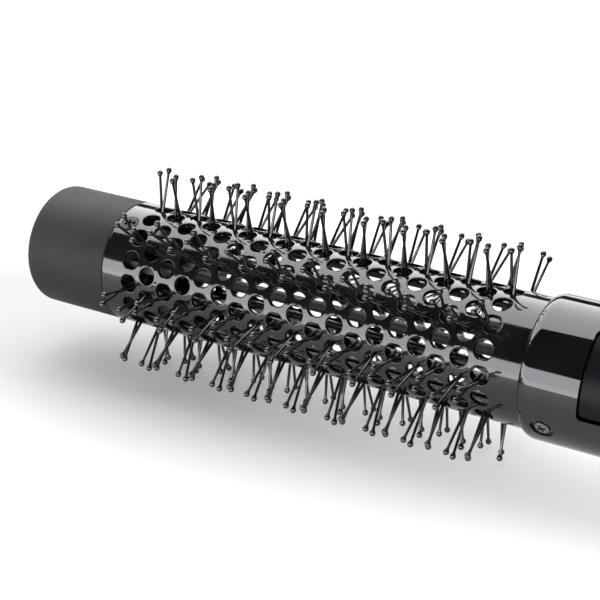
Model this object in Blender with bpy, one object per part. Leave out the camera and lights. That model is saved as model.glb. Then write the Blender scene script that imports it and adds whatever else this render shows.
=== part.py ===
"""Hot air brush with retractable bristles, as a bench assembly.

The X axis is the axis of the brush: X = 0 is the flat end of the twist knob, the barrel
follows, and the handle ends at the largest X.  Angles round the axis are measured from -Y
towards +Z, so a piece modelled pointing up (+Z) stands at 90 degrees.
Twisting the knob turns two scroll discs, whose spiral slots draw eight bristle strips
inwards along the slots of two fixed guides.  The heater, fan and motor lie in the handle.
"""
import math

import bmesh
import bpy
from mathutils import Matrix, Vector

MM = 0.001
GAP = 0.3 * MM                      # air between two pieces that fit together

# Twist knob at the tip
KNOB_LENGTH = 31.7 * MM             # flat end to the seam with the barrel
KNOB_WALL = 1.9 * MM
KNOB_EDGE_RADIUS = 3.5 * MM
KNOB_TWIST = math.radians(90.0)     # from bristles out to bristles in
END_CAP_RADIUS = 12.0 * MM
END_CAP_THICKNESS = 1.0 * MM
KNOB_FACE = 0.4 * MM                # the end cap stands this far proud of the knob
KNOB_FLOOR = 2.7 * MM               # solid end behind the cap
KNOB_HUB_RADIUS, KNOB_HUB_END = 4.2 * MM, 20.0 * MM
KNOB_SCREW_HEAD, KNOB_SCREW_END = 2.4 * MM, 12.0 * MM

# Barrel
BARREL_RADIUS = 19.0 * MM
BARREL_WALL = 1.2 * MM
BARREL_LENGTH = 140.7 * MM          # seam to seam
BARREL_TAIL = 14.8 * MM             # the part hidden inside the collar
HOLE_SIZE = 5.7 * MM
RING_COUNT = 19
HOLES_PER_RING = 16
FIRST_RING = 10.2 * MM              # front seam to the first ring of holes
LAST_RING = 11.4 * MM               # last ring of holes to the rear seam

# Bristle strips
STRIP_COUNT = 8
STRIP_DEPTH = 2.4 * MM
STRIP_TOP_HALF = 1.65 * MM
STRIP_FOOT_HALF = 0.65 * MM
STRIP_TO_BARREL = 1.2 * MM          # air between the strip and the inside of the barrel
PIN_SIZE = 1.0 * MM
BRISTLE_REACH = 13.7 * MM           # how far the tips stand off the barrel
BRISTLE_RADIUS = 0.45 * MM
OUTER_ROOT, OUTER_LEAN = -0.33 * MM, 0.290    # sideways root and slope, away from the strip
INNER_ROOT, INNER_LEAN = 1.20 * MM, -0.0915   # sideways root and slope, back over the strip
PAIR_OFFSET = 0.5 * MM              # half the distance between two bristles of one hole
AXIAL_LEAN = 0.12                   # largest slope along the barrel

# Guides, scroll discs and spindle
GUIDE_THICKNESS = 7.0 * MM
GUIDE_SETBACK = 0.5 * MM            # seam to the guide
SCROLL_THICKNESS = 2.0 * MM
AIR_SLOT_HALF = 0.8 * MM            # between the pin slots of the rear disc
SPINDLE_RADIUS = 1.7 * MM
BAFFLE_LENGTH = 17.0 * MM
BAFFLE_HALF = 1.4 * MM
SPIDER_LENGTH = 6.0 * MM
SPIDER_RING = 2.0 * MM

# Handle
COLLAR_RADIUS = 20.9 * MM
COLLAR_SHOULDER = 3.0 * MM
BARREL_FIT = 0.5 * MM               # air between the barrel's tail and the collar
SHELL_WALL = 1.4 * MM
GRIP_RADIUS = 17.8 * MM
SHOULDER_LENGTH = 70.0 * MM         # straight front of the handle
TAPER_LENGTH = 40.0 * MM
HANDLE_LENGTH = 174.0 * MM
GRILLE_LENGTH = 9.0 * MM
GRILLE_WALL = 1.6 * MM
GRILLE_EDGE = 2.0 * MM              # rounding of the grille's end
GRILLE_SLOTS = 12
SPIGOT_LENGTH = 4.0 * MM            # part of the grille inside the handle
CONTROL_ANGLE = math.radians(29.0)  # where the controls face, round the axis

# Controls
WINDOW_START = 17.9 * MM            # rear seam to the window
WINDOW_LENGTH = 55.0 * MM
WINDOW_HALF_ANGLE = math.radians(36.0)
PANEL_RECESS = 1.0 * MM
PANEL_THICKNESS = 1.6 * MM
SLIDER_LENGTH, SLIDER_WIDTH, SLIDER_HEIGHT = 9.0 * MM, 12.0 * MM, 1.9 * MM
SLIDER_STEM = 3.0 * MM
SLIDER_TRAVEL = 8.0 * MM            # off, low and high
SLIDER_START = 11.0 * MM            # window edge to the slider when off
BUTTON_RADIUS = 4.5 * MM
BUTTON_TRAVEL = 1.5 * MM
BUTTON_PLACE = 43.0 * MM            # window edge to the middle of the button
BUTTON_STAND = 1.9 * MM

# Heater, fan and motor
HEAT_TUBE_RADIUS = 14.2 * MM
HEAT_TUBE_WALL = 0.6 * MM
HEAT_TUBE_LENGTH = 53.0 * MM
HEAT_TUBE_FLANGE = 1.2 * MM
BOARD_SETBACK = 5.0 * MM            # mouth of the tube to the boards
COIL_SETBACK = 4.0 * MM             # end of the boards to the coil
CUT_OUT_LENGTH = 10.0 * MM
BOARD_HALF = 10.0 * MM
BOARD_THICKNESS = 0.8 * MM
BOARD_LENGTH = 40.0 * MM
COIL_WIRE = 0.35 * MM
COIL_TURNS = 4
FAN_RADIUS = 13.4 * MM
FAN_HUB = 5.0 * MM
FAN_LENGTH = 9.0 * MM
FAN_BLADES = 7
BLADE_PITCH = math.radians(38.0)
BLADE_HALF = 0.35 * MM
MOTOR_NOSE = 3.5 * MM
VANES = 6
MOTOR_RADIUS = 11.5 * MM
MOTOR_LENGTH = 26.0 * MM
SHAFT_RADIUS = 1.0 * MM

# Screws
TIP_SCREW_ANGLE = math.radians(65.0)
COLLAR_SCREW_ANGLE = math.radians(-25.8)
TIP_SCREW_PLACE = 4.1 * MM          # front seam to the screw
COLLAR_SCREW_PLACE = 7.5 * MM       # rear seam to the screw
SCREW_SHANK = 1.1 * MM
TIP_SCREW_HEAD = 2.7 * MM
TIP_SCREW_RIM = 0.25 * MM           # straight edge of the countersunk head

# Gland
GLAND_RADIUS = 6.0 * MM
GLAND_BORE = 3.4 * MM
GLAND_LENGTH = 14.0 * MM

# Worked out from the sizes above
FRONT_SEAM = KNOB_LENGTH
REAR_SEAM = FRONT_SEAM + BARREL_LENGTH
BARREL_INNER = BARREL_RADIUS - BARREL_WALL
COLLAR_BORE = BARREL_RADIUS + BARREL_FIT
RING_PITCH = (BARREL_LENGTH - FIRST_RING - LAST_RING) / (RING_COUNT - 1)
HOLE_STEP = math.tau / HOLES_PER_RING
STRIP_STEP = math.tau / STRIP_COUNT
COLUMN_SHIFT = HOLE_STEP / 4        # a column of holes stands this far from its strip
STRIP_TOP = BARREL_INNER - STRIP_TO_BARREL
STRIP_TOP_IN = (STRIP_TOP_HALF + 0.85 * GAP) / math.tan(STRIP_STEP / 2)
STRIP_TRAVEL = STRIP_TOP - STRIP_TOP_IN
PIN_RADIUS = STRIP_TOP - STRIP_DEPTH / 2
GUIDE_RADIUS = BARREL_INNER - 2 * GAP
FRONT_GUIDE = FRONT_SEAM + GUIDE_SETBACK
REAR_GUIDE = REAR_SEAM - GUIDE_SETBACK - GAP - GUIDE_THICKNESS
FRONT_SCROLL = KNOB_LENGTH - GAP - SCROLL_THICKNESS
REAR_SCROLL = REAR_SEAM
SPIDER = REAR_SCROLL + SCROLL_THICKNESS + 2.0 * MM
SPINDLE_START = 5.8 * MM
SPINDLE_END = SPIDER + SPIDER_LENGTH - GAP
HANDLE_START = REAR_SEAM + GAP
HANDLE_END = HANDLE_START + HANDLE_LENGTH
WINDOW = REAR_SEAM + WINDOW_START
PANEL_RADIUS = COLLAR_RADIUS - PANEL_RECESS
HEAT_TUBE = REAR_SEAM + BARREL_TAIL - 3.0 * MM
FAN = HEAT_TUBE + HEAT_TUBE_LENGTH + 8.0 * MM
MOTOR = FAN + FAN_LENGTH + 3.0 * MM
BOARD = MOTOR + MOTOR_LENGTH + 4.0 * MM
SHANK_HOLE = SCREW_SHANK + GAP

FINISHES = {
    "soft_touch_black": ((0.035, 0.035, 0.037), 0.0, 0.55),
    "gloss_black": ((0.010, 0.010, 0.011), 0.0, 0.12),
    "barrel_black": ((0.012, 0.012, 0.013), 0.0, 0.18),
    "bristle_black": ((0.010, 0.010, 0.010), 0.0, 0.25),
    "inner_black": ((0.020, 0.020, 0.021), 0.0, 0.60),
    "satin_grey": ((0.060, 0.062, 0.065), 0.0, 0.40),
    "black_screw": ((0.050, 0.050, 0.052), 1.0, 0.35),
    "steel": ((0.560, 0.570, 0.580), 1.0, 0.30),
    "aluminium": ((0.720, 0.730, 0.740), 1.0, 0.35),
    "copper": ((0.720, 0.400, 0.250), 1.0, 0.35),
    "mica": ((0.620, 0.560, 0.440), 0.0, 0.55),
    "circuit_green": ((0.030, 0.180, 0.080), 0.0, 0.45),
}


# ---------------------------------------------------------------- tools

def clear_scene():
    """Remove every object of the scene."""
    for item in list(bpy.data.objects):
        bpy.data.objects.remove(item, do_unlink=True)


def finish_material(name):
    """Return the material of a finish, made on first use."""
    found = bpy.data.materials.get(name)
    if found:
        return found
    colour, metallic, roughness = FINISHES[name]
    made = bpy.data.materials.new(name)
    made.use_nodes = True
    shader = made.node_tree.nodes["Principled BSDF"]
    shader.inputs["Base Color"].default_value = (*colour, 1.0)
    shader.inputs["Metallic"].default_value = metallic
    shader.inputs["Roughness"].default_value = roughness
    return made


def around(angle, radius, x=0.0):
    """Point at an angle round the axis."""
    return Vector((x, -radius * math.cos(angle), radius * math.sin(angle)))


def turn_to(angle):
    """Rotation about X that brings a piece modelled pointing up to an angle."""
    return math.pi / 2 - angle


def spread(start, stop, count):
    """Evenly spaced values with both ends."""
    return [start + (stop - start) * i / (count - 1) for i in range(count)]


def turned(profile, steps=24):
    """Solid of revolution about X from (x, radius) points.

    A profile that starts off the axis is closed on itself."""
    bm = bmesh.new()
    verts = [bm.verts.new((x, 0.0, radius)) for x, radius in profile]
    pairs = list(zip(verts, verts[1:]))
    if profile[0][1] > 0.0:
        pairs.append((verts[-1], verts[0]))
    edges = [bm.edges.new(pair) for pair in pairs]
    bmesh.ops.spin(bm, geom=verts + edges, cent=(0, 0, 0), axis=(1, 0, 0),
                   angle=math.tau, steps=steps, use_merge=True)
    return closed(bm)


def closed(bm):
    """Weld the seams of a solid and turn its faces outwards."""
    bmesh.ops.remove_doubles(bm, verts=bm.verts, dist=1e-6)
    bmesh.ops.recalc_face_normals(bm, faces=bm.faces)
    return bm


def prism(outline, x_start, x_end):
    """Solid with an outline of (y, z) points, drawn out along X."""
    bm = bmesh.new()
    face = bm.faces.new([bm.verts.new((x_start, y, z)) for y, z in outline])
    drawn = bmesh.ops.extrude_face_region(bm, geom=[face], use_keep_orig=True)
    moved = [item for item in drawn["geom"] if isinstance(item, bmesh.types.BMVert)]
    bmesh.ops.translate(bm, verts=moved, vec=(x_end - x_start, 0, 0))
    return closed(bm)


def block(x_range, y_range, z_range):
    """Rectangular solid between three pairs of limits."""
    (y_low, y_high), (z_low, z_high) = y_range, z_range
    outline = [(y_low, z_low), (y_high, z_low), (y_high, z_high), (y_low, z_high)]
    return prism(outline, *x_range)


def rod(start, end, radius, sides):
    """Straight prism from one point to another."""
    start, end = Vector(start), Vector(end)
    along = end - start
    bm = bmesh.new()
    frame = along.to_track_quat("Z", "Y").to_matrix().to_4x4()
    frame.translation = (start + end) / 2
    bmesh.ops.create_cone(bm, cap_ends=True, segments=sides, radius1=radius, radius2=radius,
                          depth=along.length, matrix=frame)
    return bm


def disc_post(x, z_low, z_high, radius, sides=12):
    """Round post along Z."""
    return rod((x, 0, z_low), (x, 0, z_high), radius, sides)


def upright(bm, x=0.0):
    """Stand a solid that was turned about X up along Z, at a place on the axis."""
    bmesh.ops.rotate(bm, cent=(0, 0, 0), matrix=Matrix.Rotation(-math.pi / 2, 3, "Y"),
                     verts=bm.verts)
    bmesh.ops.translate(bm, verts=bm.verts, vec=(x, 0, 0))
    return bm


def rolled(bm, angle):
    """Turn a solid about the X axis."""
    bmesh.ops.rotate(bm, cent=(0, 0, 0), matrix=Matrix.Rotation(angle, 3, "X"), verts=bm.verts)
    return bm


def together(parts):
    """Several separate solids in one mesh, for a cutter or a set of additions."""
    whole = bmesh.new()
    for part in parts:
        copy = bpy.data.meshes.new("part")
        part.to_mesh(copy)
        part.free()
        whole.from_mesh(copy)
        bpy.data.meshes.remove(copy)
    return whole


def piece(name, bm, finish, roll=0.0, parent=None):
    """Object of one sub-part, smooth where it is round."""
    mesh = bpy.data.meshes.new(name)
    bm.to_mesh(mesh)
    bm.free()
    mesh.materials.append(finish_material(finish))
    mesh.shade_smooth()
    mesh.set_sharp_from_angle(angle=math.radians(35))
    return placed(name, mesh, roll, parent)


def placed(name, mesh, roll=0.0, parent=None):
    """Object on a mesh, rolled about the X axis."""
    item = bpy.data.objects.new(name, mesh)
    item.rotation_euler.x = roll
    item.parent = parent
    bpy.context.collection.objects.link(item)
    return item


def combine(target, bm, operation):
    """Boolean on a piece with a hidden helper in the piece's own place."""
    name = f"{target.name}_{operation.lower()}"
    helper = piece(name, bm, "inner_black", target.rotation_euler.x, target.parent)
    helper.hide_render = True
    helper.display_type = "WIRE"
    boolean = target.modifiers.new(operation.title(), "BOOLEAN")
    boolean.operation = operation
    boolean.solver = "EXACT"
    boolean.object = helper


def cut(target, *parts):
    """Take solids away from a piece."""
    combine(target, together(parts), "DIFFERENCE")


def fuse(target, *parts):
    """Add solids to a piece."""
    combine(target, together(parts), "UNION")


def plus_outline(arm, half_width):
    """Outline of a cross recess, as (a, b) points."""
    corner = [(arm, -half_width), (arm, half_width), (half_width, half_width)]
    outline = []
    for quarter in range(4):
        turn = Matrix.Rotation(quarter * math.pi / 2, 2)
        outline += [tuple(turn @ Vector(point)) for point in corner]
    return outline


CROSS_RECESS = plus_outline(1.4 * MM, 0.35 * MM)    # of the knob and handle screws


def screw(name, x, angle, stations, recess_depth):
    """Cross-head screw driven towards the axis.

    The stations are (radius from the brush axis, screw radius), from the head inwards."""
    profile = [(stations[0][0], 0.0), *stations, (stations[-1][0], 0.0)]
    made = piece(name, upright(turned(profile, 12), x), "black_screw", turn_to(angle))
    head_top, head_radius = stations[0]
    recess = prism(plus_outline(0.62 * head_radius, 0.16 * head_radius),
                   head_top - recess_depth, head_top + GAP)
    cut(made, upright(recess, x))


# ---------------------------------------------------------------- twist knob

def make_knob():
    """Twist knob with its end cap, screw and spindle."""
    face = KNOB_FACE
    recess = face + 0.9 * END_CAP_THICKNESS
    floor = recess + KNOB_FLOOR
    screw_seat = floor - 0.7 * MM
    spindle_seat = SPINDLE_START - GAP
    outer = BARREL_RADIUS
    inner = outer - KNOB_WALL
    edge = [(face + KNOB_EDGE_RADIUS * (1 - math.cos(turn)),
             outer - KNOB_EDGE_RADIUS * (1 - math.sin(turn)))
            for turn in spread(0.0, math.pi / 2, 5)]
    hub, hub_end, bore = KNOB_HUB_RADIUS, KNOB_HUB_END, SPINDLE_RADIUS + GAP
    pocket = KNOB_SCREW_HEAD + 0.8 * MM
    profile = [(recess, END_CAP_RADIUS + GAP), (face, END_CAP_RADIUS + GAP), *edge,
               (KNOB_LENGTH - GAP, outer), (KNOB_LENGTH - GAP, inner), (floor, inner),
               (floor, hub), (hub_end, hub), (hub_end, bore), (spindle_seat, bore),
               (spindle_seat, SCREW_SHANK), (screw_seat, SCREW_SHANK),
               (screw_seat, pocket), (recess, pocket)]
    piece("tip_knob", turned(profile), "soft_touch_black")
    cap = [(0.0, 0.0), (0.0, END_CAP_RADIUS - 0.3 * MM), (0.3 * MM, END_CAP_RADIUS),
           (END_CAP_THICKNESS, END_CAP_RADIUS), (END_CAP_THICKNESS, 0.0)]
    piece("knob_end_cap", turned(cap), "satin_grey")
    shank = SCREW_SHANK - GAP
    head = [(recess + GAP, 0.0), (recess + GAP, 0.9 * KNOB_SCREW_HEAD),
            (screw_seat - GAP, KNOB_SCREW_HEAD), (screw_seat - GAP, shank),
            (KNOB_SCREW_END, shank), (KNOB_SCREW_END, 0.0)]
    knob_screw = piece("knob_screw", turned(head, 12), "steel")
    cut(knob_screw, prism(CROSS_RECESS, recess, recess + 1.0 * MM))
    spindle_bore = KNOB_SCREW_END + 2 * MM
    spindle = [(SPINDLE_START, SCREW_SHANK), (SPINDLE_START, SPINDLE_RADIUS),
               (SPINDLE_END, SPINDLE_RADIUS), (SPINDLE_END, 0.0), (spindle_bore, 0.0),
               (spindle_bore, SCREW_SHANK)]
    piece("spindle", turned_open(spindle, 12), "inner_black")


def turned_open(profile, steps):
    """Solid of revolution whose profile touches the axis part of the way."""
    bm = turned(profile, steps)
    loose = [edge for edge in bm.edges if not edge.link_faces]
    bmesh.ops.delete(bm, geom=loose, context="EDGES")
    return bm


# ---------------------------------------------------------------- scroll mechanism

def spiral_slot(start_angle, x_start, x_end, half_width, outer, inner, samples=8):
    """Solid along the path that a strip's pin takes through a turning disc."""
    slope = STRIP_TRAVEL / KNOB_TWIST
    left, right = [], []
    for radius in spread(outer, inner, samples):
        angle = start_angle + (PIN_RADIUS - radius) / slope
        middle = around(angle, radius)
        tangent = slope * around(angle, 1.0) - radius * around(angle + math.pi / 2, 1.0)
        side = Vector((tangent.z, -tangent.y)).normalized() * half_width
        left.append((middle.y + side.x, middle.z + side.y))
        right.append((middle.y - side.x, middle.z - side.y))
    return prism(left + right[::-1], x_start, x_end)


def make_scroll(name, x, finish, with_air_slots):
    """Disc with one spiral slot for each strip, bored for the spindle."""
    end = x + SCROLL_THICKNESS
    bore = SPINDLE_RADIUS + GAP
    rim = min(BARREL_RADIUS - KNOB_WALL, BARREL_INNER) - GAP
    disc = piece(name, turned([(x, bore), (x, rim), (end, rim), (end, bore)]), finish)
    reach = PIN_SIZE / 2 + GAP
    below, above = x - MM, end + MM
    slots = [spiral_slot(m * STRIP_STEP, below, above, reach,
                         PIN_RADIUS + reach, PIN_RADIUS - STRIP_TRAVEL - reach)
             for m in range(STRIP_COUNT)]
    if with_air_slots:
        slots += [spiral_slot((m + 0.5) * STRIP_STEP, below, above, AIR_SLOT_HALF,
                              PIN_RADIUS, PIN_RADIUS - 0.5 * STRIP_TRAVEL, samples=4)
                  for m in range(STRIP_COUNT)]
    cut(disc, *slots)


def star_outline(half_width, outer):
    """Outline of all the radial slots of a guide where they run into each other."""
    inner = half_width / math.sin(STRIP_STEP / 2)
    outline = []
    for m in range(STRIP_COUNT):
        angle = m * STRIP_STEP
        across = around(angle + math.pi / 2, half_width)
        top = around(angle, outer)
        for point in (top - across, top + across, around(angle + STRIP_STEP / 2, inner)):
            outline.append((point.y, point.z))
    return outline


def baffle(m):
    """Wedge between two strips that closes off the inside near the tip."""
    angle = (m + 0.5) * STRIP_STEP
    across = around(angle + math.pi / 2, BAFFLE_HALF)
    corners = (around(angle, 0.5 * GUIDE_RADIUS), around(angle, GUIDE_RADIUS - MM) - across,
               around(angle, GUIDE_RADIUS - MM) + across)
    start = FRONT_GUIDE + GUIDE_THICKNESS - MM
    return prism([(point.y, point.z) for point in corners], start, start + BAFFLE_LENGTH)


def make_guides():
    """Fixed rings whose radial slots hold the strips, front and rear."""
    slots = star_outline(STRIP_TOP_HALF + GAP, STRIP_TOP + GAP)
    for name, x in (("front_guide", FRONT_GUIDE), ("rear_guide", REAR_GUIDE)):
        end = x + GUIDE_THICKNESS
        disc = [(x, 0.0), (x, GUIDE_RADIUS), (end, GUIDE_RADIUS), (end, 0.0)]
        guide = piece(name, turned(disc), "inner_black")
        if name == "front_guide":
            fuse(guide, *(baffle(m) for m in range(STRIP_COUNT)))
            screw_x = FRONT_SEAM + TIP_SCREW_PLACE
            holes = [rolled(disc_post(screw_x, 0.72 * GUIDE_RADIUS, GUIDE_RADIUS + MM,
                                      SHANK_HOLE, 8), turn_to(TIP_SCREW_ANGLE + side))
                     for side in (0.0, math.pi)]
            cut(guide, prism(slots, x - MM, end + MM), *holes)
        else:
            cut(guide, prism(slots, x - MM, end + MM))


def bristle(ring, root, lean, offset):
    """One bristle of a strip that points up, from inside the strip to its tip."""
    side = 1.0 if ring % 2 == 0 else -1.0
    slope = AXIAL_LEAN * math.sin(2.4 * ring + 0.6)
    middle = (STRIP_TRAVEL + STRIP_TO_BARREL + BARREL_WALL) / 2
    x = FRONT_SEAM + FIRST_RING + ring * RING_PITCH + offset - slope * middle

    def at(height):
        return Vector((x + slope * height, side * (root + lean * height), STRIP_TOP + height))

    return rod(at(-1.2 * MM), at(BARREL_RADIUS + BRISTLE_REACH - STRIP_TOP - MM),
               BRISTLE_RADIUS, 3)


def make_strips():
    """Eight bars with their bristles and end pins, each on its own slide."""
    end_gap = 0.2 * MM
    start, end = FRONT_GUIDE + end_gap, REAR_GUIDE + GUIDE_THICKNESS - end_gap
    foot = STRIP_TOP - STRIP_DEPTH
    outline = [(-STRIP_FOOT_HALF, foot), (STRIP_FOOT_HALF, foot),
               (STRIP_TOP_HALF, STRIP_TOP), (-STRIP_TOP_HALF, STRIP_TOP)]
    first = piece("bristle_strip_1", prism(outline, start, end), "bristle_black", turn_to(0.0))
    half = PIN_SIZE / 2
    pin_sides = ((-half, half), (PIN_RADIUS - half, PIN_RADIUS + half))
    additions = [block((FRONT_SCROLL + 0.4 * MM, start + GAP), *pin_sides),
                 block((end - GAP, REAR_SCROLL + SCROLL_THICKNESS - 0.4 * MM), *pin_sides)]
    for ring in range(RING_COUNT):
        additions.append(bristle(ring, OUTER_ROOT, OUTER_LEAN, PAIR_OFFSET))
        additions.append(bristle(ring, INNER_ROOT, INNER_LEAN, -PAIR_OFFSET))
    fuse(first, *additions)
    helper = first.modifiers[0].object
    for m in range(1, STRIP_COUNT):
        roll = turn_to(m * STRIP_STEP)
        strip = placed(f"bristle_strip_{m + 1}", first.data, roll)
        twin = placed(f"bristle_strip_{m + 1}_union", helper.data, roll)
        twin.hide_render = True
        twin.display_type = "WIRE"
        union = strip.modifiers.new("Union", "BOOLEAN")
        union.operation = "UNION"
        union.solver = "EXACT"
        union.object = twin


# ---------------------------------------------------------------- barrel

def ring_angles(ring):
    """Angles of the hole edges of one ring, going round."""
    half = HOLE_SIZE / 2 / BARREL_RADIUS
    shift = COLUMN_SHIFT if ring % 2 == 0 else -COLUMN_SHIFT
    return [shift + n * HOLE_STEP + edge for n in range(HOLES_PER_RING) for edge in (-half, half)]


def barrel_circle(bm, x, angles):
    """Circle of points on the outside of the barrel."""
    return [bm.verts.new(around(angle, BARREL_RADIUS, x)) for angle in angles]


def barrel_band(bm, lower, upper, only_webs):
    """Faces between two circles: all of them, or only those between the holes."""
    count = len(lower)
    for n in range(count):
        following = (n + 1) % count
        if not (only_webs and n % 2 == 0):
            bm.faces.new((lower[n], lower[following], upper[following], upper[n]))


def make_barrel():
    """Perforated tube, with holes staggered from ring to ring."""
    bm = bmesh.new()
    half = HOLE_SIZE / 2
    last = barrel_circle(bm, FRONT_SEAM, ring_angles(0))
    for ring in range(RING_COUNT):
        x = FRONT_SEAM + FIRST_RING + ring * RING_PITCH
        angles = ring_angles(ring)
        front, back = (barrel_circle(bm, x + side, angles) for side in (-half, half))
        barrel_band(bm, last, front, only_webs=False)
        barrel_band(bm, front, back, only_webs=True)
        last = back
    tail = barrel_circle(bm, REAR_SEAM + BARREL_TAIL, ring_angles(RING_COUNT - 1))
    barrel_band(bm, last, tail, only_webs=False)
    wall = bmesh.ops.extrude_face_region(bm, geom=bm.faces[:], use_keep_orig=True)
    inner = [item for item in wall["geom"] if isinstance(item, bmesh.types.BMVert)]
    shrink = BARREL_INNER / BARREL_RADIUS
    bmesh.ops.scale(bm, vec=(1.0, shrink, shrink), verts=inner)
    bmesh.ops.triangulate(bm, faces=bm.faces)
    tube = piece("barrel_tube", closed(bm), "barrel_black")
    low, high = BARREL_INNER - MM, BARREL_RADIUS + MM
    sunk_head = TIP_SCREW_HEAD + GAP
    profile = [(low, 0.0), (low, SHANK_HOLE), (BARREL_INNER, SHANK_HOLE),
               (BARREL_RADIUS - TIP_SCREW_RIM, sunk_head), (high, sunk_head), (high, 0.0)]
    tip_x, collar_x = FRONT_SEAM + TIP_SCREW_PLACE, REAR_SEAM + COLLAR_SCREW_PLACE
    holes = []
    for side in (0.0, math.pi):
        sunk = upright(turned(profile, 12), tip_x)
        holes.append(rolled(sunk, turn_to(TIP_SCREW_ANGLE + side)))
        plain = disc_post(collar_x, low, high, SHANK_HOLE, 8)
        holes.append(rolled(plain, turn_to(COLLAR_SCREW_ANGLE + side)))
    cut(tube, *holes)


def make_tip_screws():
    """Countersunk screws that hold the front guide in the barrel."""
    x = FRONT_SEAM + TIP_SCREW_PLACE
    head = BARREL_RADIUS - 0.05 * MM
    stations = [(head, TIP_SCREW_HEAD), (BARREL_RADIUS - TIP_SCREW_RIM, TIP_SCREW_HEAD),
                (BARREL_INNER + 0.1 * MM, SCREW_SHANK), (0.76 * GUIDE_RADIUS, SCREW_SHANK)]
    for number, side in ((1, 0.0), (2, math.pi)):
        screw(f"tip_screw_{number}", x, TIP_SCREW_ANGLE + side, stations, 0.7 * MM)


# ---------------------------------------------------------------- neck and handle

def make_neck_spider():
    """Ring with spokes that carries the end of the spindle and takes the collar screws."""
    end = SPIDER + SPIDER_LENGTH
    inner = GUIDE_RADIUS - SPIDER_RING
    ring = [(SPIDER, inner), (SPIDER, GUIDE_RADIUS), (end, GUIDE_RADIUS), (end, inner)]
    spider = piece("neck_spider", turned(ring), "inner_black")
    hub = 4.0 * MM
    spokes = [rolled(block((SPIDER, end), (-0.8 * MM, 0.8 * MM), (hub - MM, inner + 0.5 * MM)),
                     turn_to(COLLAR_SCREW_ANGLE) + (n + 0.5) * math.tau / 3) for n in range(3)]
    fuse(spider, *spokes)
    bore = SPINDLE_RADIUS + GAP
    hub_ring = turned([(SPIDER, bore), (SPIDER, hub), (end, hub), (end, bore)], 12)
    combine(spider, hub_ring, "UNION")
    x = REAR_SEAM + COLLAR_SCREW_PLACE
    cut(spider, *(rolled(disc_post(x, inner - MM, GUIDE_RADIUS + MM, SHANK_HOLE, 8),
                         turn_to(COLLAR_SCREW_ANGLE + side)) for side in (0.0, math.pi)))


def handle_radius(x):
    """Outer radius of the handle, straight, then eased into the slimmer grip."""
    share = (x - HANDLE_START - SHOULDER_LENGTH) / TAPER_LENGTH
    share = min(max(share, 0.0), 1.0)
    eased = share * share * (3 - 2 * share)
    return COLLAR_RADIUS + (GRIP_RADIUS - COLLAR_RADIUS) * eased


def shell_outline():
    """Section of the handle wall as (x, radius) points."""
    step = COLLAR_RADIUS - COLLAR_BORE
    shoulder = [(HANDLE_START + COLLAR_SHOULDER * (1 - math.cos(turn)),
                 COLLAR_BORE + step * math.sin(turn)) for turn in spread(0.1, math.pi / 2, 4)]
    taper = HANDLE_START + SHOULDER_LENGTH
    stations = spread(taper, taper + TAPER_LENGTH, 5) + [HANDLE_END]
    outer = [(x, handle_radius(x)) for x in stations]
    seat = REAR_SEAM + BARREL_TAIL + GAP
    stations.insert(0, seat + SHELL_WALL)
    inner = [(x, handle_radius(x) - SHELL_WALL) for x in reversed(stations)]
    return [(HANDLE_START, COLLAR_BORE), *shoulder, *outer, *inner, (seat, COLLAR_BORE)]


def half_shell(facing):
    """Half of the handle wall, facing up (1) or down (-1)."""
    bm = bmesh.new()
    face = bm.faces.new([bm.verts.new((x, 0.0, facing * radius)) for x, radius in shell_outline()])
    slack = 0.5 * GAP / COLLAR_RADIUS
    sweep = math.pi - 2 * slack
    geom = [face, *face.edges, *face.verts]
    bmesh.ops.rotate(bm, cent=(0, 0, 0), matrix=Matrix.Rotation(-sweep / 2, 3, "X"),
                     verts=bm.verts)
    bmesh.ops.spin(bm, geom=geom, cent=(0, 0, 0), axis=(1, 0, 0), angle=sweep, steps=14)
    return closed(bm)


def sector(x_range, radii, half_angle, steps=8):
    """Block bent round the axis, pointing up."""
    low, high = radii
    angles = spread(-half_angle, half_angle, steps + 1)
    outline = [(high * math.sin(a), high * math.cos(a)) for a in angles]
    outline += [(low * math.sin(a), low * math.cos(a)) for a in reversed(angles)]
    return prism(outline, *x_range)


def shell_boss(x, facing):
    """Screw post from the wall of a half shell to near the split."""
    root = handle_radius(x) - 0.5 * SHELL_WALL
    return disc_post(x, *sorted((facing * GAP, facing * root)), 3.2 * MM)


def boss_places():
    """Where the handle screws stand along the axis."""
    last = HANDLE_END - 11 * MM
    return last - 26 * MM, last


def collar_screw_pocket(angle):
    """Counterbore and shank hole of a collar screw, as it is cut into a shell."""
    x = REAR_SEAM + COLLAR_SCREW_PLACE
    floor = COLLAR_RADIUS - SHELL_WALL + 0.5 * MM
    low, high = COLLAR_BORE - MM, COLLAR_RADIUS + MM
    profile = [(low, 0.0), (low, SHANK_HOLE), (floor, SHANK_HOLE), (floor, 3.25 * MM),
               (high, 3.25 * MM), (high, 0.0)]
    return rolled(upright(turned(profile, 12), x), angle)


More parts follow.
